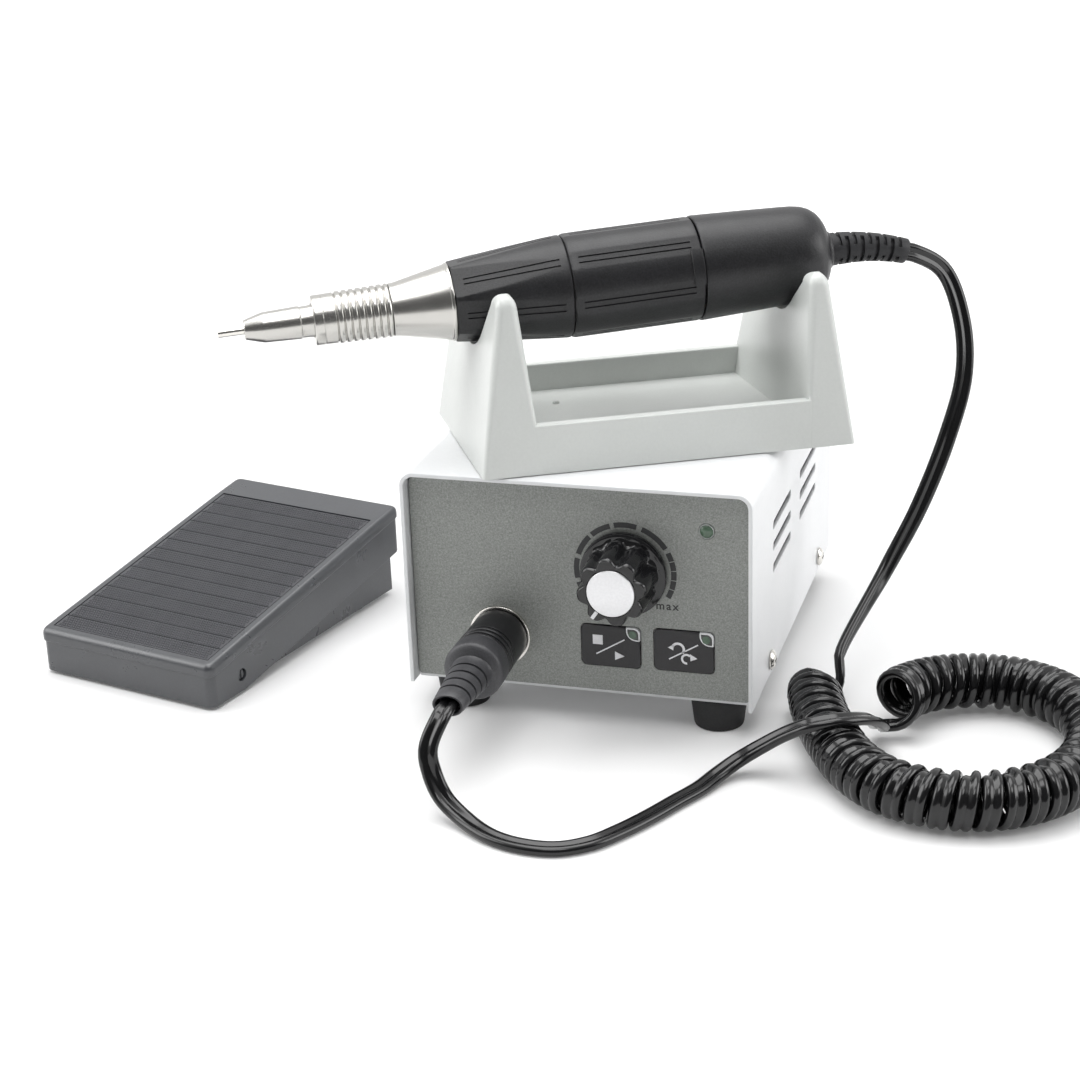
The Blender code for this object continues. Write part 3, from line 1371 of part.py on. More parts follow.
def coil_frames(middle):
    """Tangent, level side and up direction at each point of the coil's middle line."""
    frames = []
    for i, p in enumerate(middle):
        ahead = (middle[min(i + 1, len(middle) - 1)] - middle[max(i - 1, 0)]).normalized()
        side = Vector((ahead.y, -ahead.x, 0)).normalized()
        frames.append((p, ahead, side, side.cross(ahead)))
    return frames


def curl_line(middle, turns, per_turn, radius, first_turn, last_turn):
    """The cord's line: a helix round the middle line, from one clock position to another."""
    total = turns * per_turn
    spread = (len(middle) - 1) / total
    frames = coil_frames(middle)
    line = []
    for k in range(total + 1):
        at = k * spread
        i = min(int(at), len(middle) - 2)
        share = at - i
        p = frames[i][0].lerp(frames[i + 1][0], share)
        side = frames[i][2].lerp(frames[i + 1][2], share).normalized()
        up = frames[i][3].lerp(frames[i + 1][3], share).normalized()
        turn = first_turn + (2 * pi * turns + last_turn - first_turn) * k / total
        line.append(p + side * (radius * cos(turn)) + up * (radius * sin(turn)))
    return line


def least_self_gap(line, radius, skip):
    """Smallest clear distance between parts of the tube that are more than skip points apart."""
    points = np.array([tuple(p) for p in line])
    starts, ends = points[:-1], points[1:]
    least = 1.0
    for i in range(len(starts) - skip):
        a, b = starts[i], ends[i]
        c, d = starts[i + skip:], ends[i + skip:]
        for s in (0.0, 0.5, 1.0):
            p = a + (b - a) * s
            along = d - c
            t = np.clip(((p - c) * along).sum(1) / (along * along).sum(1), 0, 1)
            gap = np.linalg.norm(c + along * t[:, None] - p, axis=1).min() - 2 * radius
            least = min(least, gap)
    return least


def make_cords(boot_end, boot_ahead, plug_end):
    """Lead from the handpiece, curly cord on the floor, and lead to the plug, face to face."""
    curl_radius = curl_outer_radius - cord_radius
    middle = smooth_route(coil_route, curl_pitch / 2)
    turns = round(path_length(middle) / curl_pitch)
    first, last = radians(coil_start_turn), radians(coil_end_turn)
    line = curl_line(middle, turns, curl_point_count, curl_radius, first, last)
    tail = 2 * cord_radius
    lead_in, lead_out = coil_tails(line, tail)
    curls = [lead_in] + line + [lead_out]
    gap = least_self_gap(curls, cord_radius, curl_point_count // 2)
    print(f"curly cord: {turns} curls, least gap to itself {gap / mm:.2f} mm")
    place(tube_along("curly_cord", curls, cord_radius, 1), gloss_black)

    make_lead("handpiece_lead", boot_end, boot_ahead, handpiece_lead_route, lead_in, lead_in - line[0])
    plug_tip = Vector((socket_x, -plug_end, socket_z))
    make_lead("plug_lead", plug_tip, Vector((0, -1, 0)), plug_lead_route, lead_out, lead_out - line[-1])


def make_lead(name, start, start_ahead, route, end, end_ahead):
    """Tube from one face to another, straight and square to both for one tube diameter."""
    end_ahead = end_ahead.normalized()
    first, last = start + start_ahead * fit_gap, end + end_ahead * fit_gap
    straight = 2 * cord_radius
    knots = [first, first + start_ahead * straight]
    knots += [Vector(p) for p in route]
    knots += [last + end_ahead * straight, last]
    points = smooth_route(knots, 5 * cord_radius)
    print(f"{name}: {path_length(points) / mm:.0f} mm, {len(points)} points")
    place(tube_along(name, points, cord_radius, 2), gloss_black)


def path_length(points):
    return sum((q - p).length for p, q in zip(points, points[1:]))


def coil_tails(line, tail):
    """Straight ends of the coil's tube, one tube diameter long."""
    first = line[0] + (line[0] - line[1]).normalized() * tail
    last = line[-1] + (line[-1] - line[-2]).normalized() * tail
    return first, last


# Free stretches of the cord, chosen by hand where they hang and lie
handpiece_lead_route = [
    (0.0864, 0.0862, 0.1110), (0.0922, 0.0847, 0.0969), (0.0938, 0.0797, 0.0826),
    (0.0906, 0.0717, 0.0664), (0.0841, 0.0644, 0.0472), (0.0760, 0.0570, 0.0300),
]

plug_lead_route = [
    (-0.0252, -0.0565, 0.0175), (-0.0240, -0.0580, 0.0115), (-0.0205, -0.0602, 0.0060),
    (-0.0140, -0.0640, 0.0028), (-0.0050, -0.0695, 0.0019), (0.0037, -0.0722, 0.0018),
    (0.0130, -0.0718, 0.0018), (0.0204, -0.0672, 0.0018), (0.0262, -0.0596, 0.0018),
    (0.0317, -0.0504, 0.0018), (0.0364, -0.0412, 0.0018), (0.0409, -0.0328, 0.0019),
    (0.0445, -0.0252, 0.0026), (0.0490, -0.0205, 0.0048), (0.0548, -0.0190, 0.0086),
    (0.0615, -0.0200, 0.0135), (0.0680, -0.0212, 0.0172), (0.0750, -0.0190, 0.0182),
    (0.0815, -0.0115, 0.0155), (0.0835, -0.0040, 0.0105),
]


def centre_on_floor(cord_names):
    """Move everything so that the rigid pieces' box is centred on the origin, with its base at 0."""
    bpy.context.view_layer.update()
    graph = bpy.context.evaluated_depsgraph_get()
    low, high = None, None
    for item in bpy.data.objects:
        if item.type == "EMPTY" or item.name in cord_names:
            continue
        ready = item.evaluated_get(graph)
        mesh = ready.to_mesh()
        for vertex in mesh.vertices:
            at = ready.matrix_world @ vertex.co
            low = Vector(map(min, low or at, at))
            high = Vector(map(max, high or at, at))
        ready.to_mesh_clear()
    shift = Vector((-(low.x + high.x) / 2, -(low.y + high.y) / 2, -low.z))
    for item in bpy.data.objects:
        if item.parent is None:
            item.location += shift
    bpy.context.view_layer.update()


def main():
    clear_scene()
    make_chassis()
    make_cover()
    make_front_panel()
    make_feet()
    make_cover_screws()
    make_speed_control()
    make_keys()
    make_power_lamp()
    socket_axis, socket_front = make_motor_socket()
    plug_end = make_motor_plug(socket_axis, socket_front)
    make_circuit_board()
    make_transformer()
    make_mains_inlet()
    make_power_switch()
    make_rear_round_parts()
    make_cradle()
    axis = handpiece_frame()
    make_nose(axis)
    chuck_end = make_chuck_ring(axis)
    cone_end = make_sleeve(axis, chuck_end)
    grip_end, casing_start, casing_end, cap_start, cap_end = make_casings(axis, cone_end)
    bpy.context.view_layer.update()
    boot_end, boot_ahead = make_boot(axis, cap_end)
    make_motor(axis, grip_end, casing_start, casing_end, cap_start)
    make_pedal()
    make_cords(boot_end, boot_ahead, plug_end)
    centre_on_floor({"curly_cord", "handpiece_lead", "plug_lead", "motor_plug"})


main()
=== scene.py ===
"""Looks of the dental micromotor set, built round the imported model.

The box frame has x from the panel's middle, y from the panel's face and z from the floor. The
handpiece frame runs back along its axis from the nose, and the pedal frame back from the toe.
"""

import json
from math import acos, cos, pi, radians, sin, sqrt

import bmesh
import bpy
import numpy as np
from mathutils import Matrix, Vector


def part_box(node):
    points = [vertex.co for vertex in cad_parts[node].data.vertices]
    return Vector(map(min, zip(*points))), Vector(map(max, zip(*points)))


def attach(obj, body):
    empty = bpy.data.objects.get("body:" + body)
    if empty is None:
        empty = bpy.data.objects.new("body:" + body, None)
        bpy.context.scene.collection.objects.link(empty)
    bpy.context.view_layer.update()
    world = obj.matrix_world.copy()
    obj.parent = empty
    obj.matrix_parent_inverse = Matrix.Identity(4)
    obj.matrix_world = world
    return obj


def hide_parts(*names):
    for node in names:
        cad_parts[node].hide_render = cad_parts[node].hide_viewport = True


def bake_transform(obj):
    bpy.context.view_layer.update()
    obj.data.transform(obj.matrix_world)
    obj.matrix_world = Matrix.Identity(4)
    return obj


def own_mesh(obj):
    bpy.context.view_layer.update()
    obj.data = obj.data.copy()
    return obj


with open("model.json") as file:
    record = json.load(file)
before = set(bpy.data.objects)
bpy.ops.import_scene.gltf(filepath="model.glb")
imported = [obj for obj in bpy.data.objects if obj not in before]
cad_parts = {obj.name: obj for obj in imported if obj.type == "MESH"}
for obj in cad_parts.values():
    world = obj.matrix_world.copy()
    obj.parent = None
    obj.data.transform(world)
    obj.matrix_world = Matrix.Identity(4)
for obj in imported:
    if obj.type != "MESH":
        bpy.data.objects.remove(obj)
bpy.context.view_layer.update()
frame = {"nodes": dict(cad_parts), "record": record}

mm = 0.001
scene = bpy.context.scene
record = frame["record"]
body_of = {node: body for body, nodes in record["behaviour"]["bodies"].items() for node in nodes}

panel_low_corner, panel_high_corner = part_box("front_panel")
box_frame = Matrix.Translation(((panel_low_corner[0] + panel_high_corner[0]) / 2, panel_low_corner[1], 0))
facing_front = Matrix.Rotation(pi / 2, 4, "X")
facing_rear = Matrix.Rotation(-pi / 2, 4, "X")

nose_tip = (-0.044432, -0.061124, 0.111479)
handpiece_ahead = (0.886574, 0.459557, 0.052853)
pedal_corner = (-0.122165, -0.05605, 0)
pedal_turn = -13.9


# Camera

camera_place = (0.19996, -0.59597, 0.27694)
camera_yaw, camera_pitch, camera_roll = -0.2974, 0.3750, -0.0369
camera_lens = 74.56
camera_sensor = 36


def make_camera():
    data = bpy.data.cameras.new("photo_camera")
    data.lens, data.sensor_width = camera_lens, camera_sensor
    item = bpy.data.objects.new("photo_camera", data)
    scene.collection.objects.link(item)
    ahead = Vector((sin(camera_yaw) * cos(camera_pitch), cos(camera_yaw) * cos(camera_pitch),
                    -sin(camera_pitch)))
    level = Vector((cos(camera_yaw), -sin(camera_yaw), 0))
    upright = level.cross(ahead)
    right = level * cos(camera_roll) + upright * sin(camera_roll)
    up = upright * cos(camera_roll) - level * sin(camera_roll)
    turn = Matrix((right, up, -ahead)).transposed().to_4x4()
    item.matrix_world = Matrix.Translation(camera_place) @ turn
    scene.camera = item
    return ahead


camera_ahead = make_camera()


# Shared shader groups

class Tree:
    """A node tree with short calls to add and link nodes."""

    def __init__(self, nodes, links):
        self.nodes, self.links = nodes, links

    def add(self, kind, **sockets):
        node = self.nodes.new(kind)
        for name, value in sockets.items():
            self.put(node, name, value)
        return node

    def put(self, node, name, value):
        """A socket by its name, with words joined by underscores, or by number as _0, _1."""
        key = name.replace("_", " ")
        socket = node.inputs[int(name[1:])] if name[1:].isdigit() else node.inputs[key]
        if isinstance(value, bpy.types.NodeSocket):
            self.links.new(value, socket)
        else:
            socket.default_value = value

    def maths(self, operation, *values):
        node = self.nodes.new("ShaderNodeMath")
        node.operation = operation
        for slot, value in enumerate(values):
            self.put(node, f"_{slot}", value)
        return node.outputs[0]

    def span(self, value, low, high, to_low, to_high):
        node = self.nodes.new("ShaderNodeMapRange")
        for slot, given in enumerate((value, low, high, to_low, to_high)):
            self.put(node, f"_{slot}", given)
        return node.outputs[0]


def shader_group(name, inputs, outputs):
    group = bpy.data.node_groups.new(name, "ShaderNodeTree")
    for label in inputs:
        group.interface.new_socket(label, in_out="INPUT", socket_type="NodeSocketFloat")
    for label in outputs:
        group.interface.new_socket(label, in_out="OUTPUT", socket_type="NodeSocketFloat")
    tree = Tree(group.nodes, group.links)
    return group, tree, tree.add("NodeGroupInput").outputs, tree.add("NodeGroupOutput")


def make_grain_group():
    """Fine moulded or sprayed grain: a height, and a tone that varies more slowly."""
    group, tree, given, out = shader_group("fine_grain", ["Scale", "Mottle scale"], ["Height", "Tone"])
    place = tree.add("ShaderNodeTexCoord").outputs["Object"]
    fine = tree.add("ShaderNodeTexNoise", Vector=place, Scale=given["Scale"], Detail=3.0, Roughness=0.6)
    slow = tree.add("ShaderNodeTexNoise", Vector=place, Scale=given["Mottle scale"], Detail=4.0)
    speck = tree.maths("MULTIPLY", fine.outputs["Fac"], 0.65)
    tone = tree.maths("ADD", speck, tree.maths("MULTIPLY", slow.outputs["Fac"], 0.35))
    tree.put(out, "Height", fine.outputs["Fac"])
    tree.put(out, "Tone", tree.span(tone, 0.35, 0.65, 0.0, 1.0))
    return group


def make_handling_group():
    """Faint smudges and rubbed patches, as a mask."""
    group, tree, given, out = shader_group("handling_marks", ["Scale"], ["Mask"])
    place = tree.add("ShaderNodeTexCoord").outputs["Object"]
    patch = tree.add("ShaderNodeTexNoise", Vector=place, Scale=given["Scale"], Detail=5.0, Roughness=0.7,
                     Distortion=0.6)
    tree.put(out, "Mask", tree.span(patch.outputs["Fac"], 0.38, 0.68, 0.0, 1.0))
    return group


def make_turning_group():
    """Marks of the lathe: rings along the piece's own length, from its UV map."""
    group, tree, given, out = shader_group("turning_marks", ["Rings"], ["Height", "Tone"])
    uv = tree.add("ShaderNodeUVMap").outputs["UV"]
    apart = tree.add("ShaderNodeSeparateXYZ", Vector=uv)
    line = tree.nodes.new("ShaderNodeTexNoise")
    line.noise_dimensions = "1D"
    tree.put(line, "W", tree.maths("MULTIPLY", apart.outputs["Y"], given["Rings"]))
    tree.put(line, "Detail", 3.0)
    tree.put(out, "Height", line.outputs["Fac"])
    tree.put(out, "Tone", tree.span(line.outputs["Fac"], 0.3, 0.7, 0.0, 1.0))
    return group


grain_group, handling_group, turning_group = make_grain_group(), make_handling_group(), make_turning_group()


def grouped(tree, group, **values):
    node = tree.nodes.new("ShaderNodeGroup")
    node.node_tree = group
    for name, value in values.items():
        tree.put(node, name, value)
    return node.outputs


def finish(name, colour, roughness, metallic=0.0, grain=2500.0, tone=0.08, bump=0.01, smudge=0.06,
           smudge_scale=40.0, rings=0.0, coat=0.0, coat_roughness=0.1, mottle=120.0, specular=0.5):
    """A procedural material: grain or lathe marks in colour and height, handling marks in roughness."""
    made = bpy.data.materials.new(name)
    made.use_nodes = True
    tree = Tree(made.node_tree.nodes, made.node_tree.links)
    shader = made.node_tree.nodes["Principled BSDF"]
    if rings:
        marks = grouped(tree, turning_group, Rings=rings)
    else:
        marks = grouped(tree, grain_group, Scale=grain, Mottle_scale=mottle)
    mask = grouped(tree, handling_group, Scale=smudge_scale)["Mask"]
    blend = tree.nodes.new("ShaderNodeMix")
    blend.data_type = "RGBA"
    tree.links.new(marks["Tone"], blend.inputs["Factor"])
    blend.inputs["A"].default_value = (*[c * (1 - tone) for c in colour], 1)
    blend.inputs["B"].default_value = (*[min(1, c * (1 + tone)) for c in colour], 1)
    tree.links.new(blend.outputs["Result"], shader.inputs["Base Color"])
    low, high = max(0.03, roughness - smudge), min(1.0, roughness + smudge)
    tree.links.new(tree.span(mask, 0.0, 1.0, low, high), shader.inputs["Roughness"])
    lift = tree.add("ShaderNodeBump", Height=marks["Height"], Strength=1.0, Distance=bump * mm)
    tree.links.new(lift.outputs["Normal"], shader.inputs["Normal"])
    shader.inputs["Metallic"].default_value = metallic
    shader.inputs["Coat Weight"].default_value = coat
    shader.inputs["Coat Roughness"].default_value = coat_roughness
    shader.inputs["Specular IOR Level"].default_value = specular
    made.diffuse_color = (*colour, 1)
    return made


white_coat = finish("white_powder_coat", (0.80, 0.81, 0.82), 0.34, grain=900, tone=0.015, bump=0.012)
panel_film = finish("speckled_panel_film", (0.262, 0.272, 0.258), 0.46, 0.3, grain=2600, tone=0.30,
                    bump=0.012, smudge=0.02, mottle=1500)
scale_print = finish("dark_scale_print", (0.028, 0.028, 0.03), 0.5, tone=0.2)
symbol_print = finish("white_symbol_print", (0.82, 0.82, 0.84), 0.5, tone=0.04)
key_film = finish("satin_key_film", (0.030, 0.029, 0.031), 0.42, grain=3000, tone=0.12, bump=0.004,
                  specular=0.4)
lens_dark = finish("lens_surround", (0.05, 0.055, 0.05), 0.35)
ring_grey = finish("lamp_ring_grey", (0.42, 0.44, 0.43), 0.4, tone=0.05)
lens_green = finish("lamp_lens_green", (0.10, 0.16, 0.11), 0.15, grain=400, tone=0.25, bump=0.0)
lens_white = finish("lamp_ring_white", (0.80, 0.81, 0.82), 0.3, tone=0.02)
knob_gloss = finish("knob_gloss_black", (0.010, 0.010, 0.011), 0.09, grain=500, tone=0.1, bump=0.004,
                    smudge=0.03)
knob_satin = finish("knob_satin_face", (0.026, 0.0255, 0.026), 0.45, grain=2600, tone=0.15, bump=0.01)
cap_disc = finish("spun_aluminium_disc", (0.70, 0.70, 0.71), 0.34, 1.0, grain=1400, tone=0.05, bump=0.004)
nickel = finish("nickel_plate", (0.74, 0.72, 0.68), 0.2, 1.0, grain=700, tone=0.04, bump=0.003)
turned_steel = finish("turned_steel", (0.55, 0.54, 0.515), 0.25, 1.0, rings=7000, tone=0.05, bump=0.0012,
                      smudge=0.015, smudge_scale=70)
plug_black = finish("plug_black", (0.012, 0.012, 0.0135), 0.34, grain=1800, tone=0.2, bump=0.02, specular=0.4)
plug_band = finish("plug_band_grain", (0.030, 0.030, 0.034), 0.5, grain=2600, tone=0.4, bump=0.03,
                   specular=0.7)
rubber = finish("matt_black_rubber", (0.018, 0.018, 0.019), 0.72, grain=1600, tone=0.2, bump=0.02)
boot_rubber = finish("boot_rubber", (0.020, 0.020, 0.022), 0.5, grain=1600, tone=0.2, bump=0.02,
                     specular=0.35)
cradle_plastic = finish("cradle_pale_plastic", (0.655, 0.675, 0.655), 0.36, grain=1300, tone=0.02, bump=0.006)
casing_black = finish("handpiece_black_grain", (0.013, 0.013, 0.0145), 0.38, grain=2000, tone=0.5, bump=0.05,
                      smudge=0.03, specular=0.42)
pedal_plastic = finish("pedal_charcoal", (0.046, 0.049, 0.055), 0.32, grain=1700, tone=0.12,
                       bump=0.010, specular=0.85)
pad_rubber = finish("pad_rubber", (0.050, 0.051, 0.058), 0.5, grain=1700, tone=0.2, bump=0.02)
# Painted shade: flat black discs for the pedal pad's pits, standing in for the shade in their hollows.
pit_black = finish("pit_black", (0.004, 0.004, 0.004), 0.8)
cord_jacket = finish("cord_jacket", (0.006, 0.006, 0.0066), 0.17, grain=350, tone=0.15, bump=0.015,
                     smudge=0.05)
board_green = finish("board_green", (0.02, 0.13, 0.06), 0.4, grain=800, tone=0.35)
core_iron = finish("core_iron", (0.18, 0.18, 0.19), 0.5, 0.9, grain=1500, tone=0.2, bump=0.02)
copper = finish("winding_copper", (0.55, 0.23, 0.09), 0.35, 0.9, grain=1800, tone=0.25, bump=0.03)
brass = finish("brass", (0.62, 0.43, 0.17), 0.3, 1.0, grain=900, tone=0.06)
ferrite = finish("ferrite", (0.06, 0.06, 0.065), 0.6, 0.2)


# Mesh helpers

def new_object(name, mesh):
    item = bpy.data.objects.new(name, mesh)
    scene.collection.objects.link(item)
    return item


def shade(mesh, angle=35):
    mesh.shade_smooth()
    mesh.set_sharp_from_angle(angle=radians(angle))


def mesh_piece(name, points, faces, place=None, angle=35):
    """A mesh with merged doubles and outward normals, placed by a matrix."""
    mesh = bpy.data.meshes.new(name)
    mesh.from_pydata([tuple(p) for p in points], [], faces)
    if place is not None:
        mesh.transform(place)
    work = bmesh.new()
    work.from_mesh(mesh)
    bmesh.ops.remove_doubles(work, verts=work.verts, dist=1e-7)
    bmesh.ops.recalc_face_normals(work, faces=work.faces)
    work.to_mesh(mesh)
    work.free()
    shade(mesh, angle)
    return new_object(name, mesh)


def skin(name, rings, place=None, closed=False, capped=True, angle=35):
    """Skin rings of equally many points; closed joins the last ring to the first."""
    count = len(rings[0])
    points = [p for ring in rings for p in ring]
    faces = []
    for i in range(len(rings) if closed else len(rings) - 1):
        a, b = i * count, ((i + 1) % len(rings)) * count
        faces += [(a + k, a + (k + 1) % count, b + (k + 1) % count, b + k) for k in range(count)]
    if capped and not closed:
        last = (len(rings) - 1) * count
        faces += [tuple(range(count - 1, -1, -1)), tuple(range(last, last + count))]
    return mesh_piece(name, points, faces, place, angle)


def prism(name, outline, start, end, direction, place=None, angle=35):
    """Extrude a flat outline along one axis; its two numbers are the other two axes in order."""
    def point(pair, along):
        values = list(pair)
        values.insert("xyz".index(direction), along)
        return tuple(values)
    return skin(name, [[point(p, start) for p in outline], [point(p, end) for p in outline]], place,
                angle=angle)


def block(name, low, high, place=None):
    return prism(name, [(low[0], low[1]), (high[0], low[1]), (high[0], high[1]), (low[0], high[1])],
                 low[2], high[2], "z", place)


def rounded_rectangle(low, high, radii, steps=8):
    """Outline from the lower left corner on, with one radius for each corner in turn."""
    corners = [(low[0], low[1], 180), (high[0], low[1], 270), (high[0], high[1], 0), (low[0], high[1], 90)]
    outline = []
    for (x, y, start), radius in zip(corners, radii):
        inward_x = radius if x == low[0] else -radius
        inward_y = radius if y == low[1] else -radius
        for k in range(steps + 1):
            turn = radians(start + 90 * k / steps)
            outline.append((x + inward_x + radius * cos(turn), y + inward_y + radius * sin(turn)))
    return outline


def circle(radius, sides, centre=(0, 0)):
    return [(centre[0] + radius * cos(2 * pi * k / sides), centre[1] + radius * sin(2 * pi * k / sides))
            for k in range(sides)]


def eased(profile, radius, closed=False):
    """The same run of points with its corners rounded off by up to a radius."""
    points = [Vector(p) for p in profile]
    count = len(points)
    made = []
    for i, p in enumerate(points):
        if not closed and i in (0, count - 1):
            made.append(tuple(p))
            continue
        before, after = points[i - 1] - p, points[(i + 1) % count] - p
        if before.length < 1e-9 or after.length < 1e-9 or before.angle(after) > radians(168):
            made.append(tuple(p))
            continue
        reach = min(radius, 0.45 * before.length, 0.45 * after.length)
        first, last = p + before.normalized() * reach, p + after.normalized() * reach
        for share in (0, 1 / 3, 2 / 3, 1):
            made.append(tuple(first * (1 - share) ** 2 + p * (2 * share * (1 - share)) + last * share ** 2))
    return made


def turned(name, profile, place, sides=72, bored=False, ease=0.15 * mm, angle=35):
    """A solid of revolution round Z from (z, radius) pairs, with a UV map along its length."""
    run = eased(profile, ease, bored) if ease else list(profile)
    rings = [[(r * cos(2 * pi * k / sides), r * sin(2 * pi * k / sides), z) for k in range(sides)]
             for z, r in run]
    item = skin(name, rings, closed=bored, angle=angle)
    map_lengthwise(item.data)
    item.data.transform(place)
    return item


def map_lengthwise(mesh):
    """UV map of a piece turned round Z: the turn across, and the length plus the radius along."""
    layer = mesh.uv_layers.new(name="lengthwise")
    for face in mesh.polygons:
        for loop in face.loop_indices:
            p = mesh.vertices[mesh.loops[loop].vertex_index].co
            layer.data[loop].uv = (np.arctan2(p.y, p.x) / (2 * pi), p.z - sqrt(p.x ** 2 + p.y ** 2))


def bake(item):
    """Replace an object's mesh with what its modifiers make of it."""
    bpy.context.view_layer.update()
    evaluated = item.evaluated_get(bpy.context.evaluated_depsgraph_get())
    made = bpy.data.meshes.new_from_object(evaluated)
    made.name = item.name
    item.modifiers.clear()
    item.data = made
    return item


def drop(*items):
    for item in items:
        bpy.data.objects.remove(item)


def boolean(item, others, operation="DIFFERENCE"):
    for other in others:
        step = item.modifiers.new(operation.lower(), "BOOLEAN")
        step.operation, step.solver, step.object = operation, "EXACT", other
    bake(item)
    drop(*others)
    return item


def bevelled(item, width, segments=3, angle=40):
    """Round the sharp edges, and keep flat faces looking flat."""
    step = item.modifiers.new("bevel", "BEVEL")
    step.width, step.segments = width, segments
    step.limit_method, step.angle_limit = "ANGLE", radians(angle)
    step.miter_outer = "MITER_ARC"
    bake(item)
    shade(item.data, 50)
    step = item.modifiers.new("flat_faces", "WEIGHTED_NORMAL")
    step.keep_sharp = True
    return bake(item)


def merged(name, items):
    """One object with the meshes of several."""
    work = bmesh.new()
    for item in items:
        work.from_mesh(item.data)
    mesh = bpy.data.meshes.new(name)
    work.to_mesh(mesh)
    work.free()
    drop(*items)
    shade(mesh, 40)
    return new_object(name, mesh)


def refined(name, node, width=0.25 * mm, segments=2):
    """A copy of a CAD node's mesh with its doubles merged and its edges rounded."""
    mesh = frame["nodes"][node].data.copy()
    mesh.name = name
    work = bmesh.new()
    work.from_mesh(mesh)
    bmesh.ops.remove_doubles(work, verts=work.verts, dist=1e-6)
    bmesh.ops.dissolve_limit(work, angle_limit=radians(1), verts=work.verts, edges=work.edges)
    work.to_mesh(mesh)
    work.free()
    mesh.materials.clear()
    return bevelled(new_object(name, mesh), width, segments)


def settle(item, material, nodes=(), like=None, rides=True):
    """Give a finished piece its material and, if it rides, its body; hide the CAD nodes it stands for."""
    item.data.materials.clear()
    item.data.materials.append(material)
    guide = like or nodes[0]
    if rides:
        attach(item, body_of[guide])
    if nodes:
        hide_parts(*nodes)
    return item


# Geometry Nodes tree that repeats one shape in columns and rows

def make_repeat_tree():
    tree = bpy.data.node_groups.new("repeat_in_rows", "GeometryNodeTree")
    face = tree.interface
    face.new_socket("Geometry", in_out="INPUT", socket_type="NodeSocketGeometry")
    for label, kind in (("Shape", "Object"), ("Start", "Vector"), ("Columns", "Int"),
                        ("Column step", "Vector"), ("Rows", "Int"), ("Row step", "Vector"),
                        ("Finish", "Material")):
        face.new_socket(label, in_out="INPUT", socket_type="NodeSocket" + kind)
    face.new_socket("Geometry", in_out="OUTPUT", socket_type="NodeSocketGeometry")
    build = Tree(tree.nodes, tree.links)
    given = build.add("NodeGroupInput").outputs
    across = build.add("GeometryNodeMeshLine", Count=given["Columns"], Start_Location=given["Start"],
                       Offset=given["Column step"])
    along = build.add("GeometryNodeMeshLine", Count=given["Rows"], Offset=given["Row step"])
    grid = build.add("GeometryNodeInstanceOnPoints", Points=across.outputs[0], Instance=along.outputs[0])
    spots = build.add("GeometryNodeRealizeInstances", Geometry=grid.outputs[0])
    shape = build.add("GeometryNodeObjectInfo", Object=given["Shape"])
    copies = build.add("GeometryNodeInstanceOnPoints", Points=spots.outputs[0],
                       Instance=shape.outputs["Geometry"])
    real = build.add("GeometryNodeRealizeInstances", Geometry=copies.outputs[0])
    coated = build.add("GeometryNodeSetMaterial", Geometry=real.outputs[0], Material=given["Finish"])
    build.put(build.add("NodeGroupOutput"), "Geometry", coated.outputs[0])
    return tree


repeat_tree = make_repeat_tree()


def repeated(name, shape, start, columns, column_step, rows, row_step, material, place=None):
    """Copies of a shape on a grid of points, as one plain mesh."""
    item = new_object(name, bpy.data.meshes.new(name))
    step = item.modifiers.new("repeat", "NODES")
    step.node_group = repeat_tree
    values = {"Shape": shape, "Start": start, "Columns": columns, "Column step": column_step, "Rows": rows,
              "Row step": row_step, "Finish": material}
    for socket in repeat_tree.interface.items_tree:
        if socket.in_out == "INPUT" and socket.name in values:
            step[socket.identifier] = values[socket.name]
    bake(item)
    drop(shape)
    if place is not None:
        item.data.transform(place)
    return item


# Handpiece frame: local Z runs back from the nose, local Y points up, -X is the side the camera sees

def make_handpiece_frame():
    ahead = Vector(handpiece_ahead).normalized()
    side = Vector((-ahead.y, ahead.x, 0)).normalized()
    up = ahead.cross(side)
    return Matrix.Translation(nose_tip) @ Matrix((side, up, ahead)).transposed().to_4x4()


handpiece_frame = make_handpiece_frame()
pedal_frame = Matrix.Translation(pedal_corner) @ Matrix.Rotation(radians(pedal_turn), 4, "Z")

cap_end = 165.9 * mm                # where the boot's length is counted from
boot_length, boot_droop = 19.53 * mm, 3.2 * mm
boot_root, boot_tip = 4.6 * mm, 3.4 * mm
socket_x, socket_z = -22.8 * mm, 25.2 * mm
plug_end = 46.6 * mm


# Motor cord: one twin lead from the handpiece's boot, round its curls, to the plug

strand_radius = 1.325 * mm
waist_turn = 150                     # where the two strands' circles meet, from each one's outer side
cord_width = 4 * strand_radius
curl_outer_radius = 7.75 * mm
curl_pitch = 5.6 * mm
curl_point_count = 24
coil_start_turn, coil_end_turn = 165, -90
lead_spacing = 1.6 * mm
cad_cord_radius = 1.6 * mm
floor_zone = 3 * mm

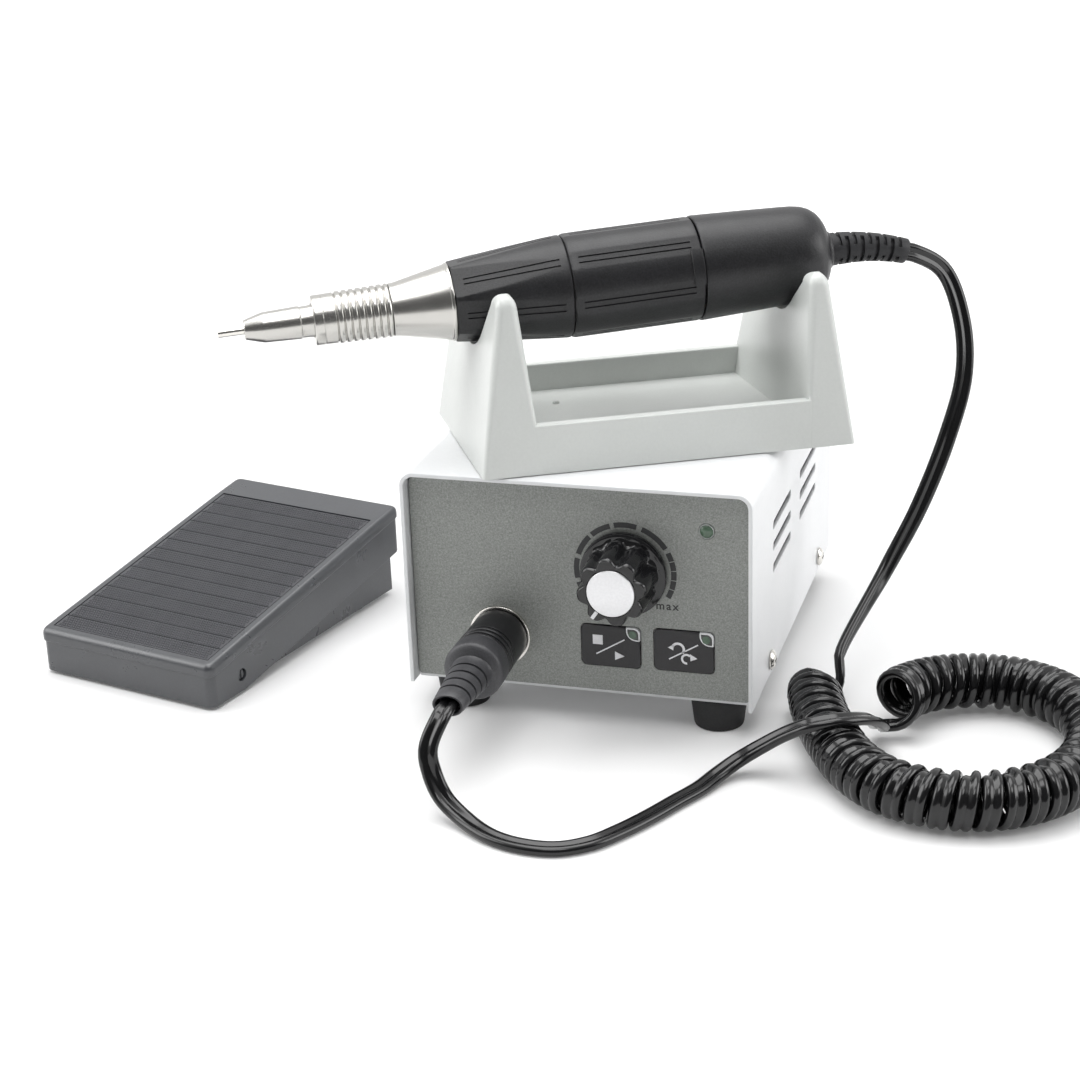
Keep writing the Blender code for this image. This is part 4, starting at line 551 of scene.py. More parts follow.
handpiece_lead_route = [
    (0.0864, 0.0862, 0.1110), (0.0922, 0.0847, 0.0969), (0.0938, 0.0797, 0.0826),
    (0.0906, 0.0717, 0.0664), (0.0841, 0.0644, 0.0472), (0.0760, 0.0570, 0.0300),
]
coil_route = [
    (0.0610, 0.0300, 0.0080), (0.0625, 0.0170, 0.0080), (0.0665, 0.0030, 0.0080),
    (0.0725, -0.0115, 0.0080), (0.0800, -0.0245, 0.0080), (0.0895, -0.0335, 0.0080),
    (0.1010, -0.0372, 0.0080), (0.1130, -0.0365, 0.0080), (0.1240, -0.0310, 0.0080),
    (0.1325, -0.0215, 0.0080), (0.1375, -0.0090, 0.0080), (0.1385, 0.0045, 0.0080),
    (0.1350, 0.0180, 0.0080), (0.1265, 0.0285, 0.0080), (0.1150, 0.0340, 0.0080),
    (0.1025, 0.0325, 0.0085), (0.0925, 0.0255, 0.0095), (0.0865, 0.0160, 0.0105),
    (0.0848, 0.0085, 0.0110),
]
plug_lead_route = [
    (-0.0252, -0.0565, 0.0175), (-0.0240, -0.0580, 0.0115), (-0.0205, -0.0602, 0.0060),
    (-0.0140, -0.0640, 0.0028), (-0.0050, -0.0695, 0.0019), (0.0037, -0.0722, 0.0018),
    (0.0130, -0.0718, 0.0018), (0.0204, -0.0672, 0.0018), (0.0262, -0.0596, 0.0018),
    (0.0317, -0.0504, 0.0018), (0.0364, -0.0412, 0.0018), (0.0409, -0.0328, 0.0019),
    (0.0445, -0.0252, 0.0026), (0.0490, -0.0205, 0.0048), (0.0548, -0.0190, 0.0086),
    (0.0615, -0.0200, 0.0135), (0.0680, -0.0212, 0.0172), (0.0750, -0.0190, 0.0182),
    (0.0815, -0.0115, 0.0155), (0.0835, -0.0040, 0.0105),
]


def spline_point(a, b, c, d, share):
    """Centripetal Catmull-Rom point between b and c."""
    t0 = 0.0
    t1 = t0 + sqrt((b - a).length)
    t2 = t1 + sqrt((c - b).length)
    t3 = t2 + sqrt((d - c).length)
    t = t1 + (t2 - t1) * share
    p = a * ((t1 - t) / (t1 - t0)) + b * ((t - t0) / (t1 - t0))
    q = b * ((t2 - t) / (t2 - t1)) + c * ((t - t1) / (t2 - t1))
    r = c * ((t3 - t) / (t3 - t2)) + d * ((t - t2) / (t3 - t2))
    low = p * ((t2 - t) / (t2 - t0)) + q * ((t - t0) / (t2 - t0))
    high = q * ((t3 - t) / (t3 - t1)) + r * ((t - t1) / (t3 - t1))
    return low * ((t2 - t) / (t2 - t1)) + high * ((t - t1) / (t2 - t1))


def smooth_route(points, spacing):
    """Evenly spaced points on a centripetal curve; the first and last stretches stay straight."""
    knots = [Vector(p) for p in points]
    fine = []
    for a, b, c, d in zip(knots, knots[1:], knots[2:], knots[3:]):
        fine += [spline_point(a, b, c, d, k / 16) for k in range(16)]
    fine.append(knots[-2])
    lengths = [0.0]
    for p, q in zip(fine, fine[1:]):
        lengths.append(lengths[-1] + (q - p).length)
    count = max(2, round(lengths[-1] / spacing))
    made = []
    for k in range(count + 1):
        want = lengths[-1] * k / count
        i = min(np.searchsorted(lengths, want, side="right"), len(fine) - 1)
        share = (want - lengths[i - 1]) / (lengths[i] - lengths[i - 1])
        made.append(fine[i - 1].lerp(fine[i], share))
    return [knots[0]] + made + [knots[-1]]


def path_length(points):
    return sum((q - p).length for p, q in zip(points, points[1:]))


def curl_line(middle, turns, radius, first_turn, last_turn):
    """Centres of the cord round the curls, with the direction along the coil at each."""
    frames = []
    for i, p in enumerate(middle):
        ahead = (middle[min(i + 1, len(middle) - 1)] - middle[max(i - 1, 0)]).normalized()
        side = Vector((ahead.y, -ahead.x, 0)).normalized()
        frames.append((p, ahead, side, side.cross(ahead)))
    total = turns * curl_point_count
    line, along, outward = [], [], []
    for k in range(total + 1):
        at = k * (len(middle) - 1) / total
        i = min(int(at), len(middle) - 2)
        p, ahead, side, up = [a.lerp(b, at - i) for a, b in zip(frames[i], frames[i + 1])]
        turn = first_turn + (2 * pi * turns + last_turn - first_turn) * k / total
        out = side.normalized() * cos(turn) + up.normalized() * sin(turn)
        line.append(p + out * radius)
        along.append(ahead.normalized())
        outward.append(out)
    return line, along, outward


def curl_widths(line, along, outward):
    """Width direction of the flat cord in the curls; where they crowd, each leans on the next."""
    widths = []
    count = len(line)
    for k in range(count):
        near = [(line[k] - line[j]).length for j in (k - curl_point_count, k + curl_point_count)
                if 0 <= j < count]
        lean = acos(min(1.0, 0.98 * min(near) / cord_width))
        widths.append(along[k] * cos(lean) + outward[k] * sin(lean))
        line[k] = line[k] - outward[k] * (strand_radius * sin(lean))
    return widths


def carried(points, wanted):
    """Width directions along a lead: carried without twist, then turned evenly to those wanted."""
    tangents = [(points[min(i + 1, len(points) - 1)] - points[max(i - 1, 0)]).normalized()
                for i in range(len(points))]
    stops = sorted(wanted)
    made = {}
    for start, end in zip(stops, stops[1:]):
        width = made[start] if start in made else square_to(wanted[start], tangents[start])
        run = [width]
        for i in range(start + 1, end + 1):
            turn = tangents[i - 1].rotation_difference(tangents[i])
            run.append(square_to(turn @ run[-1], tangents[i]))
        goal = square_to(wanted[end], tangents[end])
        if goal.dot(run[-1]) < 0:
            goal = -goal
        twist = run[-1].angle(goal)
        if run[-1].cross(goal).dot(tangents[end]) < 0:
            twist = -twist
        for step, i in enumerate(range(start, end + 1)):
            share = step / (end - start)
            share = share * share * (3 - 2 * share)
            made[i] = Matrix.Rotation(twist * share, 3, tangents[i]) @ run[step]
    return [made[i] for i in range(len(points))]


def square_to(direction, tangent):
    return (direction - tangent * direction.dot(tangent)).normalized()


def rested(p):
    """The flat cord lies lower on the floor than the CAD model's round tube."""
    drop_by = cad_cord_radius - strand_radius + 0.1 * mm
    share = min(1.0, max(0.0, (floor_zone - p.z) / (floor_zone - 2 * mm)))
    return Vector((p.x, p.y, p.z - drop_by * share))


def cord_path():
    """Centres and width directions from inside the boot to the far end of the plug."""
    slope = 2 * boot_droop / boot_length
    boot_end = handpiece_frame @ Vector((0, -boot_droop, cap_end + boot_length))
    boot_ahead = (handpiece_frame.to_3x3() @ Vector((0, -slope, 1))).normalized()
    middle = smooth_route(coil_route, curl_pitch / 2)
    turns = round(path_length(middle) / curl_pitch)
    curls, along, outward = curl_line(middle, turns, curl_outer_radius - strand_radius,
                                      radians(coil_start_turn), radians(coil_end_turn))
    widths = curl_widths(curls, along, outward)
    curls = [box_frame @ p for p in curls]
    straight = 2 * cad_cord_radius
    lead_in = curls[0] + (curls[0] - curls[1]).normalized() * straight
    lead_out = curls[-1] + (curls[-1] - curls[-2]).normalized() * straight
    knots = [boot_end - boot_ahead * 4 * mm, boot_end + boot_ahead * straight]
    knots += [box_frame @ Vector(p) for p in handpiece_lead_route] + [lead_in, curls[0]]
    first = smooth_route(knots, lead_spacing)[:-1]
    plug_tip = box_frame @ Vector((socket_x, -plug_end, socket_z))
    front = Vector((0, -1, 0))
    knots = [curls[-1], lead_out] + [box_frame @ rested(Vector(p)) for p in reversed(plug_lead_route)]
    knots += [plug_tip + front * straight, plug_tip]
    second = smooth_route(knots, lead_spacing)[1:]
    inside = [plug_tip - front * (share * (plug_end - 3 * mm)) for share in (0.2, 0.4, 0.6, 0.8, 1.0)]

    hang = {0: camera_ahead, len(first) // 2: camera_ahead}
    tangent_at = lambda run, i: (run[i + 1] - run[max(i - 1, 0)]).normalized()
    wanted = {i: tangent_at(first, i).cross(way) for i, way in hang.items()}
    wanted[len(first)] = widths[0]
    lead_widths = carried(first + [curls[0]], wanted)[:-1]
    if lead_widths[-1].dot(widths[0]) < 0:
        widths = [-w for w in widths]
    flat = [i for i, p in enumerate(second) if p.z < floor_zone]
    wanted = {0: widths[-1]}
    for i in (flat[len(flat) // 8], flat[-len(flat) // 8]):
        wanted[i + 1] = Vector((0, 0, 1)).cross(tangent_at(second, i))
    wanted[len(second)] = Vector((1, 0, 0))
    plug_widths = carried([curls[-1]] + second, wanted)[1:]
    centres = first + curls + second + inside
    return centres, lead_widths + widths + plug_widths + [plug_widths[-1]] * len(inside), boot_end


def strand_section():
    """The two strands side by side, joined by a thin web: offsets across and up."""
    section = []
    for side in (1, -1):
        for k in range(9):
            turn = radians(-waist_turn + 2 * waist_turn * k / 8)
            across = side * strand_radius * (1 + cos(turn))
            section.append((across, side * strand_radius * sin(turn)))
    return section


def make_motor_cord():
    centres, widths, boot_end = cord_path()
    section = strand_section()
    rings = []
    for i, (p, width) in enumerate(zip(centres, widths)):
        ahead = (centres[min(i + 1, len(centres) - 1)] - centres[max(i - 1, 0)]).normalized()
        width = square_to(width, ahead)
        height = ahead.cross(width)
        rings.append([p + width * a + height * b for a, b in section])
    item = skin("motor_cord", rings, angle=60)
    return item, centres, boot_end


motor_cord, cord_centres, boot_end = make_motor_cord()
settle(motor_cord, cord_jacket, ("handpiece_lead", "curly_cord", "plug_lead"), rides=False)


# Control box shell

panel_half = 47.5 * mm
chassis_low, panel_low, panel_top = 9.9 * mm, 11.1 * mm, 71.1 * mm
cover_inner_x, cover_outer_x = 47.8 * mm, 49.0 * mm
cover_inner_z, box_top = 71.4 * mm, 72.6 * mm
sheet = 1.2 * mm
box_depth = 121 * mm
cover_front, cover_rear = -3.6 * mm, 122 * mm
cover_bend = 4.2 * mm
cover_edge = 0.28 * mm
vent_length, vent_height = 27 * mm, 2.6 * mm
vent_columns, vent_rows, vent_pitch = 2, 3, 6.4 * mm
vent_first_y, vent_step_y, vent_low_z = 39.2 * mm, 41.4 * mm, 40.3 * mm
screw_y, screw_step_y, screw_z = 22 * mm, 78.5 * mm, 14.6 * mm
panel_corner = 3.2 * mm
panel_thickness = 0.8 * mm
panel_edge = 0.18 * mm


def make_cover():
    """Bent sheet with rounded bends; its vent slots are cut in columns and rows."""
    faces = []
    for x, top, bend in ((cover_outer_x, box_top, cover_bend),
                         (cover_inner_x, cover_inner_z, cover_bend - sheet)):
        whole = rounded_rectangle((-x, chassis_low), (x, top), (0, 0, bend, bend), 10)
        faces.append([(x, chassis_low)] + whole[22:] + [(-x, chassis_low)])
    outer, inner = faces
    item = prism("cabinet_cover", outer + inner[::-1], cover_front, cover_rear, "y", box_frame)
    cutters = []
    for side in (-1, 1):
        low, high = sorted((side * (cover_inner_x - 2 * mm), side * (cover_outer_x + 2 * mm)))
        half_y, half_z = vent_length / 2, vent_height / 2
        slot = rounded_rectangle((-half_y, -half_z), (half_y, half_z), [vent_height * 0.48] * 4, 5)
        shape = prism("slot_shape", slot, low, high, "x")
        cutters.append(repeated("slots", shape, (0, vent_first_y, vent_low_z), vent_columns,
                                (0, vent_step_y, 0), vent_rows, (0, 0, vent_pitch), white_coat, box_frame))
    boolean(item, cutters)
    bevelled(item, cover_edge, 3, 35)
    return settle(item, white_coat, ("top_cover",))


def holed_plate(name, outer, holes, front, back, edge, place):
    """Flat plate facing -Y with eased front edges; each outline is a function of its growth."""
    work = bmesh.new()
    border = {0: [], 1: []}
    for shape, sign in [(outer, -1)] + [(hole, 1) for hole in holes]:
        rows = []
        for y, grow in ((front, sign * edge), (front + edge * 0.3, sign * edge * 0.3), (front + edge, 0),
                        (back, 0)):
            rows.append([work.verts.new((x, y, z)) for x, z in shape(grow)])
        count = len(rows[0])
        for a, b in zip(rows, rows[1:]):
            for k in range(count):
                j = (k + 1) % count
                work.faces.new((a[k], a[j], b[j], b[k]))
        for end, row in ((0, rows[0]), (1, rows[-1])):
            border[end] += [work.edges.get((row[k], row[(k + 1) % count])) for k in range(count)]
    for edges in border.values():
        bmesh.ops.triangle_fill(work, edges=edges, use_beauty=True)
    bmesh.ops.recalc_face_normals(work, faces=work.faces)
    mesh = bpy.data.meshes.new(name)
    work.to_mesh(mesh)
    work.free()
    mesh.transform(place)
    shade(mesh, 30)
    item = new_object(name, mesh)
    item.modifiers.new("flat_faces", "WEIGHTED_NORMAL").keep_sharp = True
    return bake(item)


key_width, key_height, key_corner, key_gap = 17 * mm, 12.4 * mm, 1.5 * mm, 0.2 * mm
key_centres = {"start_stop": (8.9 * mm, 24.7 * mm), "direction": (29.4 * mm, 25.0 * mm)}
key_proud = 0.35 * mm
lamp_size, lamp_tip_radius = 3.9 * mm, 0.3 * mm
lamp_round = 2.9 * mm
lamp_proud = 0.5 * mm
knob_x, knob_z = 13.3 * mm, 47.0 * mm
power_lamp_x, power_lamp_z = 35.9 * mm, 60.4 * mm


def key_shape(centre, gap):
    def shape(grow):
        half_x, half_z = key_width / 2 - gap + grow, key_height / 2 - gap + grow
        radius = max(key_corner - gap + grow, 0.2 * mm)
        return rounded_rectangle((centre[0] - half_x, centre[1] - half_z),
                                 (centre[0] + half_x, centre[1] + half_z), [radius] * 4, 6)
    return shape


def round_shape(centre, radius, sides=48):
    return lambda grow: circle(radius + grow, sides, centre)


def make_panel():
    def outer(grow):
        radii = [max(r + grow, 0.3 * mm) for r in (sheet, sheet, panel_corner, panel_corner)]
        return rounded_rectangle((-panel_half - grow, panel_low - grow),
                                 (panel_half + grow, panel_top + grow), radii, 8)
    holes = [round_shape((socket_x, socket_z), 7.9 * mm), round_shape((knob_x, knob_z), 3.3 * mm),
             round_shape((power_lamp_x, power_lamp_z), 2.2 * mm)]
    holes += [key_shape(centre, 0) for centre in key_centres.values()]
    item = holed_plate("control_panel", outer, holes, 0, panel_thickness, panel_edge, box_frame)
    return settle(item, panel_film, ("front_panel",))


def make_feet():
    profile = [(0, 0), (0, 5.8 * mm), (0.25 * mm, 6.8 * mm), (0.9 * mm, 7.0 * mm), (8.2 * mm, 7.9 * mm),
               (9.2 * mm, 8.0 * mm), (9.6 * mm, 7.7 * mm), (9.6 * mm, 0)]
    shape = turned("foot_shape", profile, Matrix.Identity(4), 48)
    item = repeated("rubber_feet", shape, (-37 * mm, 9.5 * mm, 0), 2, (74 * mm, 0, 0), 2, (0, 102 * mm, 0),
                    rubber, box_frame)
    return settle(item, rubber, ("foot_front_left", "foot_front_right", "foot_rear_left", "foot_rear_right"))


def make_cover_screws():
    """Pan heads with a crossed recess, two on each side."""
    sides = []
    for side in (-1, 1):
        profile = [(-5 * mm, 0), (-5 * mm, 1.5 * mm), (0.1 * mm, 1.5 * mm), (0.1 * mm, 2.8 * mm),
                   (0.7 * mm, 2.8 * mm), (1.35 * mm, 2.1 * mm), (1.6 * mm, 1.1 * mm), (1.6 * mm, 0)]
        head = turned("head", profile, Matrix.Identity(4), 32)
        arms = []
        for long_x, long_y in ((1.35, 0.28), (0.28, 1.35)):
            arms.append(block("arm", (-long_x * mm, -long_y * mm, 0.7 * mm),
                              (long_x * mm, long_y * mm, 3 * mm)))
        boolean(head, arms)
        head.data.transform(Matrix.Rotation(side * pi / 2, 4, "Y"))
        start = (side * cover_outer_x, screw_y, screw_z)
        sides.append(repeated("screws", head, start, 2, (0, screw_step_y, 0), 1, (0, 0, 0), nickel,
                              box_frame))
    item = merged("cover_screws", sides)
    names = [f"cover_screw_{end}_{side}" for side in ("left", "right") for end in ("front", "rear")]
    return settle(item, nickel, names)


make_cover()
make_panel()
make_feet()
make_cover_screws()
settle(refined("chassis_tray", "base_chassis", 0.15 * mm), white_coat, ("base_chassis",))


# Panel prints

band_inner, band_outer = 12.8 * mm, 14.3 * mm
print_rise = 0.05 * mm
scale_segments = [(222, 197), (192, 167.5), (162, 136), (132, 107), (102, 75.4), (69, 33.4)]
scale_run = (27.8, -30.2)
scale_run_cells = 5
word_x, word_z, word_width = 25.0 * mm, 37.6 * mm, 6.3 * mm
slash_width = 0.36 * mm
lamp_rim, lens_inset, lens_drop = 0.42 * mm, 2.05 * mm, 2.0 * mm


def arc_outline(inner, outer, start, end, centre=(0, 0), steps=14):
    turns = [radians(start + (end - start) * k / steps) for k in range(steps + 1)]
    edge = [(centre[0] + outer * cos(t), centre[1] + outer * sin(t)) for t in turns]
    return edge + [(centre[0] + inner * cos(t), centre[1] + inner * sin(t)) for t in reversed(turns)]


def printed(name, outlines, face, place):
    """Thin raised print on a face at some depth along Y."""
    shapes = [prism("print", outline, face - print_rise, face + 0.02 * mm, "y", place)
              for outline in outlines]
    return merged(name, shapes)


def make_scale():
    place = box_frame @ Matrix.Translation((knob_x, 0, knob_z))
    outlines = [arc_outline(band_inner, band_outer, a, b) for a, b in scale_segments]
    start, end = scale_run
    step = (end - start) / scale_run_cells
    for k in range(scale_run_cells):
        outlines.append(arc_outline(band_inner, band_outer, start + k * step, start + (k + 1) * step + 1.1))
    return settle(printed("speed_scale", outlines, 0, place), scale_print, like="front_panel")


def make_word(text, width, centre, face, material, like):
    """A word as a thin raised mesh on the panel."""
    curve = bpy.data.curves.new(text, "FONT")
    curve.body = text
    curve.space_character = 1.25
    curve.offset = 0.018
    curve.extrude = 0.02
    source = new_object(text, curve)
    bpy.context.view_layer.update()
    mesh = bpy.data.meshes.new_from_object(source.evaluated_get(bpy.context.evaluated_depsgraph_get()))
    drop(source)
    xs = [v.co.x for v in mesh.vertices]
    ys = [v.co.y for v in mesh.vertices]
    scale = width / (max(xs) - min(xs))
    middle = Vector(((max(xs) + min(xs)) / 2, (max(ys) + min(ys)) / 2, 0))
    thin = Matrix.Diagonal((scale, scale, print_rise / 0.04, 1))
    seat = Matrix.Translation((centre[0], face - print_rise / 2 + 0.01 * mm, centre[1]))
    mesh.transform(box_frame @ seat @ facing_front @ thin @ Matrix.Translation(-middle))
    item = new_object(text + "_word", mesh)
    shade(mesh, 30)
    return settle(item, material, like=like)


def in_mm(pairs):
    return [tuple(value * mm for value in pair) for pair in pairs]


def stroke(start, end, width=slash_width):
    """A straight stroke as a thin quadrilateral."""
    a, b = Vector(start) * mm, Vector(end) * mm
    side = (b - a).normalized().orthogonal() * (width / 2)
    return [tuple(a + side), tuple(b + side), tuple(b - side), tuple(a - side)]


def key_symbols(which):
    """Outlines of the white symbols on a key, from its centre."""
    outlines = [stroke((-4.1, -2.5), (4.0, 2.35))]
    if which == "start_stop":
        outlines.append(in_mm([(-5.0, 0.4), (-2.2, 0.4), (-2.2, 3.2), (-5.0, 3.2)]))
        outlines.append(in_mm([(1.2, -3.9), (3.9, -2.6), (1.2, -1.35)]))
    else:
        outlines.append(arc_outline(1.3 * mm, 2.0 * mm, -40, 150, (-1.6 * mm, 0.65 * mm)))
        outlines.append(in_mm([(-4.4, 0.95), (-2.9, 0.2), (-2.75, 1.95)]))
        outlines.append(arc_outline(1.0 * mm, 1.6 * mm, -85, -318, (0.8 * mm, -2.1 * mm)))
        outlines.append(in_mm([(3.75, -1.75), (1.75, -0.55), (1.85, -2.65)]))
    return outlines


def lamp_outline(centre, grow=0.0):
    """Leaf-shaped lamp surround in the key's upper right corner, with two pointed corners."""
    right, top = centre[0] + key_width / 2 - key_gap, centre[1] + key_height / 2 - key_gap
    low = (right - lamp_size - grow, top - lamp_size - grow)
    high = (right + grow, top + grow)
    tip = max(lamp_tip_radius + grow, 0.1 * mm)
    return rounded_rectangle(low, high, (lamp_round + grow, tip, key_corner, tip), 10)


def key_outline(centre, grow):
    """The key's rounded rectangle with the lamp's surround taken out of its corner."""
    half_x, half_z = key_width / 2 - key_gap + grow, key_height / 2 - key_gap + grow
    radius = key_corner - key_gap
    low = (centre[0] - half_x, centre[1] - half_z)
    high = (centre[0] + half_x, centre[1] + half_z)
    whole = rounded_rectangle(low, high, [radius] * 4, 8)
    notch = lamp_outline(centre, 0.15 * mm - grow)[:11]
    tip_right = (high[0], notch[-1][1])
    tip_top = (notch[0][0], high[1])
    return whole[:18] + [tip_right] + notch[::-1] + [tip_top] + whole[27:]


def make_keys():
    for name, centre in key_centres.items():
        shape = lambda grow, c=centre: key_outline(c, grow)
        key = holed_plate("key", shape, [], -key_proud, 0.5 * mm, 0.12 * mm, box_frame)
        profile = in_mm([(-0.08, 0), (-0.08, 4.7), (0, 4.5), (0.07, 3.2), (0.1, 0)])
        at = box_frame @ Matrix.Translation((centre[0], -key_proud, centre[1])) @ facing_front
        dome = turned("dome", profile, at, 48, ease=0)
        settle(merged(name + "_film_key", [key, dome]), key_film, (name + "_key",))
        place = box_frame @ Matrix.Translation((centre[0], 0, centre[1]))
        face = -key_proud - 0.1 * mm
        marks = printed(name + "_symbols", key_symbols(name), face, place)
        settle(marks, symbol_print, like=name + "_key")
        ring = holed_plate(name + "_lamp_ring", lambda grow, c=centre: lamp_outline(c, grow), [], -lamp_proud,
                           0.5 * mm, 0.1 * mm, box_frame)
        settle(ring, lens_white, (name + "_lamp",))
        leaf = lambda grow, c=centre: lamp_outline(c, grow - lamp_rim)
        surround = holed_plate(name + "_lamp_surround", leaf, [], -lamp_proud - 0.06 * mm, 0.3 * mm,
                               0.05 * mm, box_frame)
        settle(surround, lens_dark, like=name + "_lamp")
        right, top = centre[0] + key_width / 2 - key_gap, centre[1] + key_height / 2 - key_gap
        place = Matrix.Translation((right - lens_inset, -lamp_proud - 0.04 * mm, top - lens_drop))
        at = box_frame @ place @ facing_front
        lens = turned(name + "_lamp_lens", [(-0.1 * mm, 0), (-0.1 * mm, 1.12 * mm), (0.06 * mm, 1.12 * mm),
                                            (0.12 * mm, 0.7 * mm), (0.14 * mm, 0)], at, 40, ease=0.05 * mm)
        settle(lens, lens_green, like=name + "_lamp")


def make_power_lamp():
    at = box_frame @ Matrix.Translation((power_lamp_x, 0, power_lamp_z)) @ facing_front
    ring = turned("power_lamp_ring", [(-1 * mm, 1.8 * mm), (-1 * mm, 2.1 * mm), (0.18 * mm, 2.1 * mm),
                                      (0.25 * mm, 1.95 * mm), (0.18 * mm, 1.8 * mm)], at, 40, True, 0.06 * mm)
    settle(ring, ring_grey, like="power_lamp")
    dome = [(-2 * mm, 0), (-2 * mm, 1.8 * mm), (0.1 * mm, 1.8 * mm), (0.35 * mm, 1.65 * mm),
            (0.65 * mm, 1.2 * mm), (0.85 * mm, 0.6 * mm), (0.9 * mm, 0)]
    settle(turned("power_lamp_dome", dome, at, 40, ease=0.1 * mm), lens_green, ("power_lamp",))


make_scale()
make_word("max", word_width, (word_x, word_z), 0, scale_print, "front_panel")
make_keys()
make_power_lamp()


# Speed knob

flute_count, flute_depth, pointer_turn = 8, 1.8 * mm, 235
knob_steps = 160


def fluted(radius, depth, z):
    loop = []
    for k in range(knob_steps):
        facet = 2 * pi * k / knob_steps
        turn = facet + radians(pointer_turn)
        dip = depth * ((1 - cos(flute_count * facet)) / 2) ** 2
        loop.append(((radius - dip) * cos(turn), (radius - dip) * sin(turn), z))
    return loop


def make_knob():
    at = box_frame @ Matrix.Translation((knob_x, 0, knob_z)) @ facing_front
    rows = [(0.6, 11.6, 0), (0.75, 11.85, 0), (1.0, 11.95, 0), (2.6, 11.95, 0), (2.95, 11.85, 0),
            (3.15, 11.55, 0), (3.2, 11.2, 0), (3.25, 10.35, 0), (3.5, 10.1, 0.3), (4.2, 10.1, 0.8),
            (5.4, 10.08, 1), (8.5, 9.98, 1), (11.5, 9.88, 1), (13.8, 9.78, 1), (14.6, 9.68, 1),
            (15.1, 9.48, 1), (15.4, 9.2, 1), (15.5, 9.0, 1)]
    rings = [fluted(r * mm, flute_depth * deep, z * mm) for z, r, deep in rows]
    rings += [fluted(3.5 * mm, 0, 15.5 * mm), fluted(3.3 * mm, 0, 15.0 * mm), fluted(3.3 * mm, 0, 0.6 * mm)]
    knob = skin("fluted_knob", rings, at, closed=True, angle=40)
    settle(knob, knob_gloss, ("speed_knob",))
    face = [fluted(9.12 * mm, flute_depth, 15.42 * mm), fluted(9.05 * mm, flute_depth, 15.54 * mm),
            fluted(8.8 * mm, flute_depth, 15.6 * mm), fluted(6.9 * mm, 0, 15.6 * mm),
            fluted(6.85 * mm, 0, 15.3 * mm), fluted(6.0 * mm, 0, 15.3 * mm)]
    settle(skin("knob_face", face, at, capped=True, angle=40), knob_satin, like="speed_knob")
    turn = radians(pointer_turn)
    ahead, side = Vector((cos(turn), sin(turn))), Vector((-sin(turn), cos(turn)))
    near, far, half = 6.8 * mm, 9.2 * mm, 0.5 * mm
    bar = [tuple(ahead * a + side * b) for a, b in ((near, -half), (far, -half), (far, half), (near, half))]
    settle(prism("knob_pointer", bar, 15.3 * mm, 15.72 * mm, "z", at), symbol_print, like="speed_knob")
    cap = turned("knob_cap_disc", [(15.1 * mm, 0), (15.1 * mm, 6.5 * mm), (15.85 * mm, 6.55 * mm),
                                   (16.0 * mm, 6.4 * mm), (16.02 * mm, 0)], at, 96, ease=0.12 * mm)
    settle(cap, cap_disc, ("knob_cap",))


make_knob()


# Motor socket and plug

def make_socket_and_plug():
    at = box_frame @ Matrix.Translation((socket_x, 0, socket_z)) @ facing_front
    socket = [(0.95 * mm, 8.55 * mm), (0.85 * mm, 8.7 * mm), (0.05 * mm, 8.75 * mm), (0.05 * mm, 7.6 * mm),
              (-14 * mm, 7.6 * mm), (-14 * mm, 2.3 * mm), (-10 * mm, 2.3 * mm), (-10 * mm, 6.9 * mm),
              (0.9 * mm, 6.9 * mm)]
    settle(turned("socket_ring", socket, at, 96, True, 0.12 * mm), nickel, ("motor_socket",))
    body = [(-8.3, 0), (-8.3, 6.6), (1.2, 6.6), (1.2, 7.75), (1.45, 8.0), (12.6, 8.0)]
    for z in (12.6, 14.65, 16.7):
        body += [(z + 0.15, 7.3), (z + 0.65, 7.25), (z + 0.8, 7.95), (z + 1.05, 8.15), (z + 1.75, 8.15),
                 (z + 2.0, 7.95)]
    body += [(18.95, 7.3), (19.35, 0)]
    settle(turned("plug_body", [(a * mm, b * mm) for a, b in body], at, 96, ease=0.12 * mm), plug_black,
           like="motor_plug")
    rows = []
    band = 18.9
    outline = [(band, 7.4, 7.4), (band, 8.2, 8.2), (band + 0.15, 8.3, 8.3), (band + 5.4, 8.3, 8.3),
               (band + 6.0, 8.15, 8.15), (band + 6.5, 7.7, 7.6), (band + 6.9, 6.9, 6.6),
               (band + 7.2, 6.0, 5.2), (band + 7.6, 5.75, 4.95), (band + 9.9, 5.65, 4.85)]
    for z, a, b in outline:
        rows.append(oval(a, b, z))
    rows += relief_rows(band + 9.9, plug_end / mm)
    plug = skin("cord_plug", [[(x * mm, y * mm, z * mm) for x, y, z in row] for row in rows], at, angle=40)
    return settle(plug, plug_band, ("motor_plug",))


def oval(half_x, half_y, z, sides=72, dent=None):
    loop = []
    for k in range(sides):
        turn = 2 * pi * k / sides
        less = dent(turn) if dent else 0
        loop.append(((half_x - less) * cos(turn), (half_y - less) * sin(turn), z))
    return loop


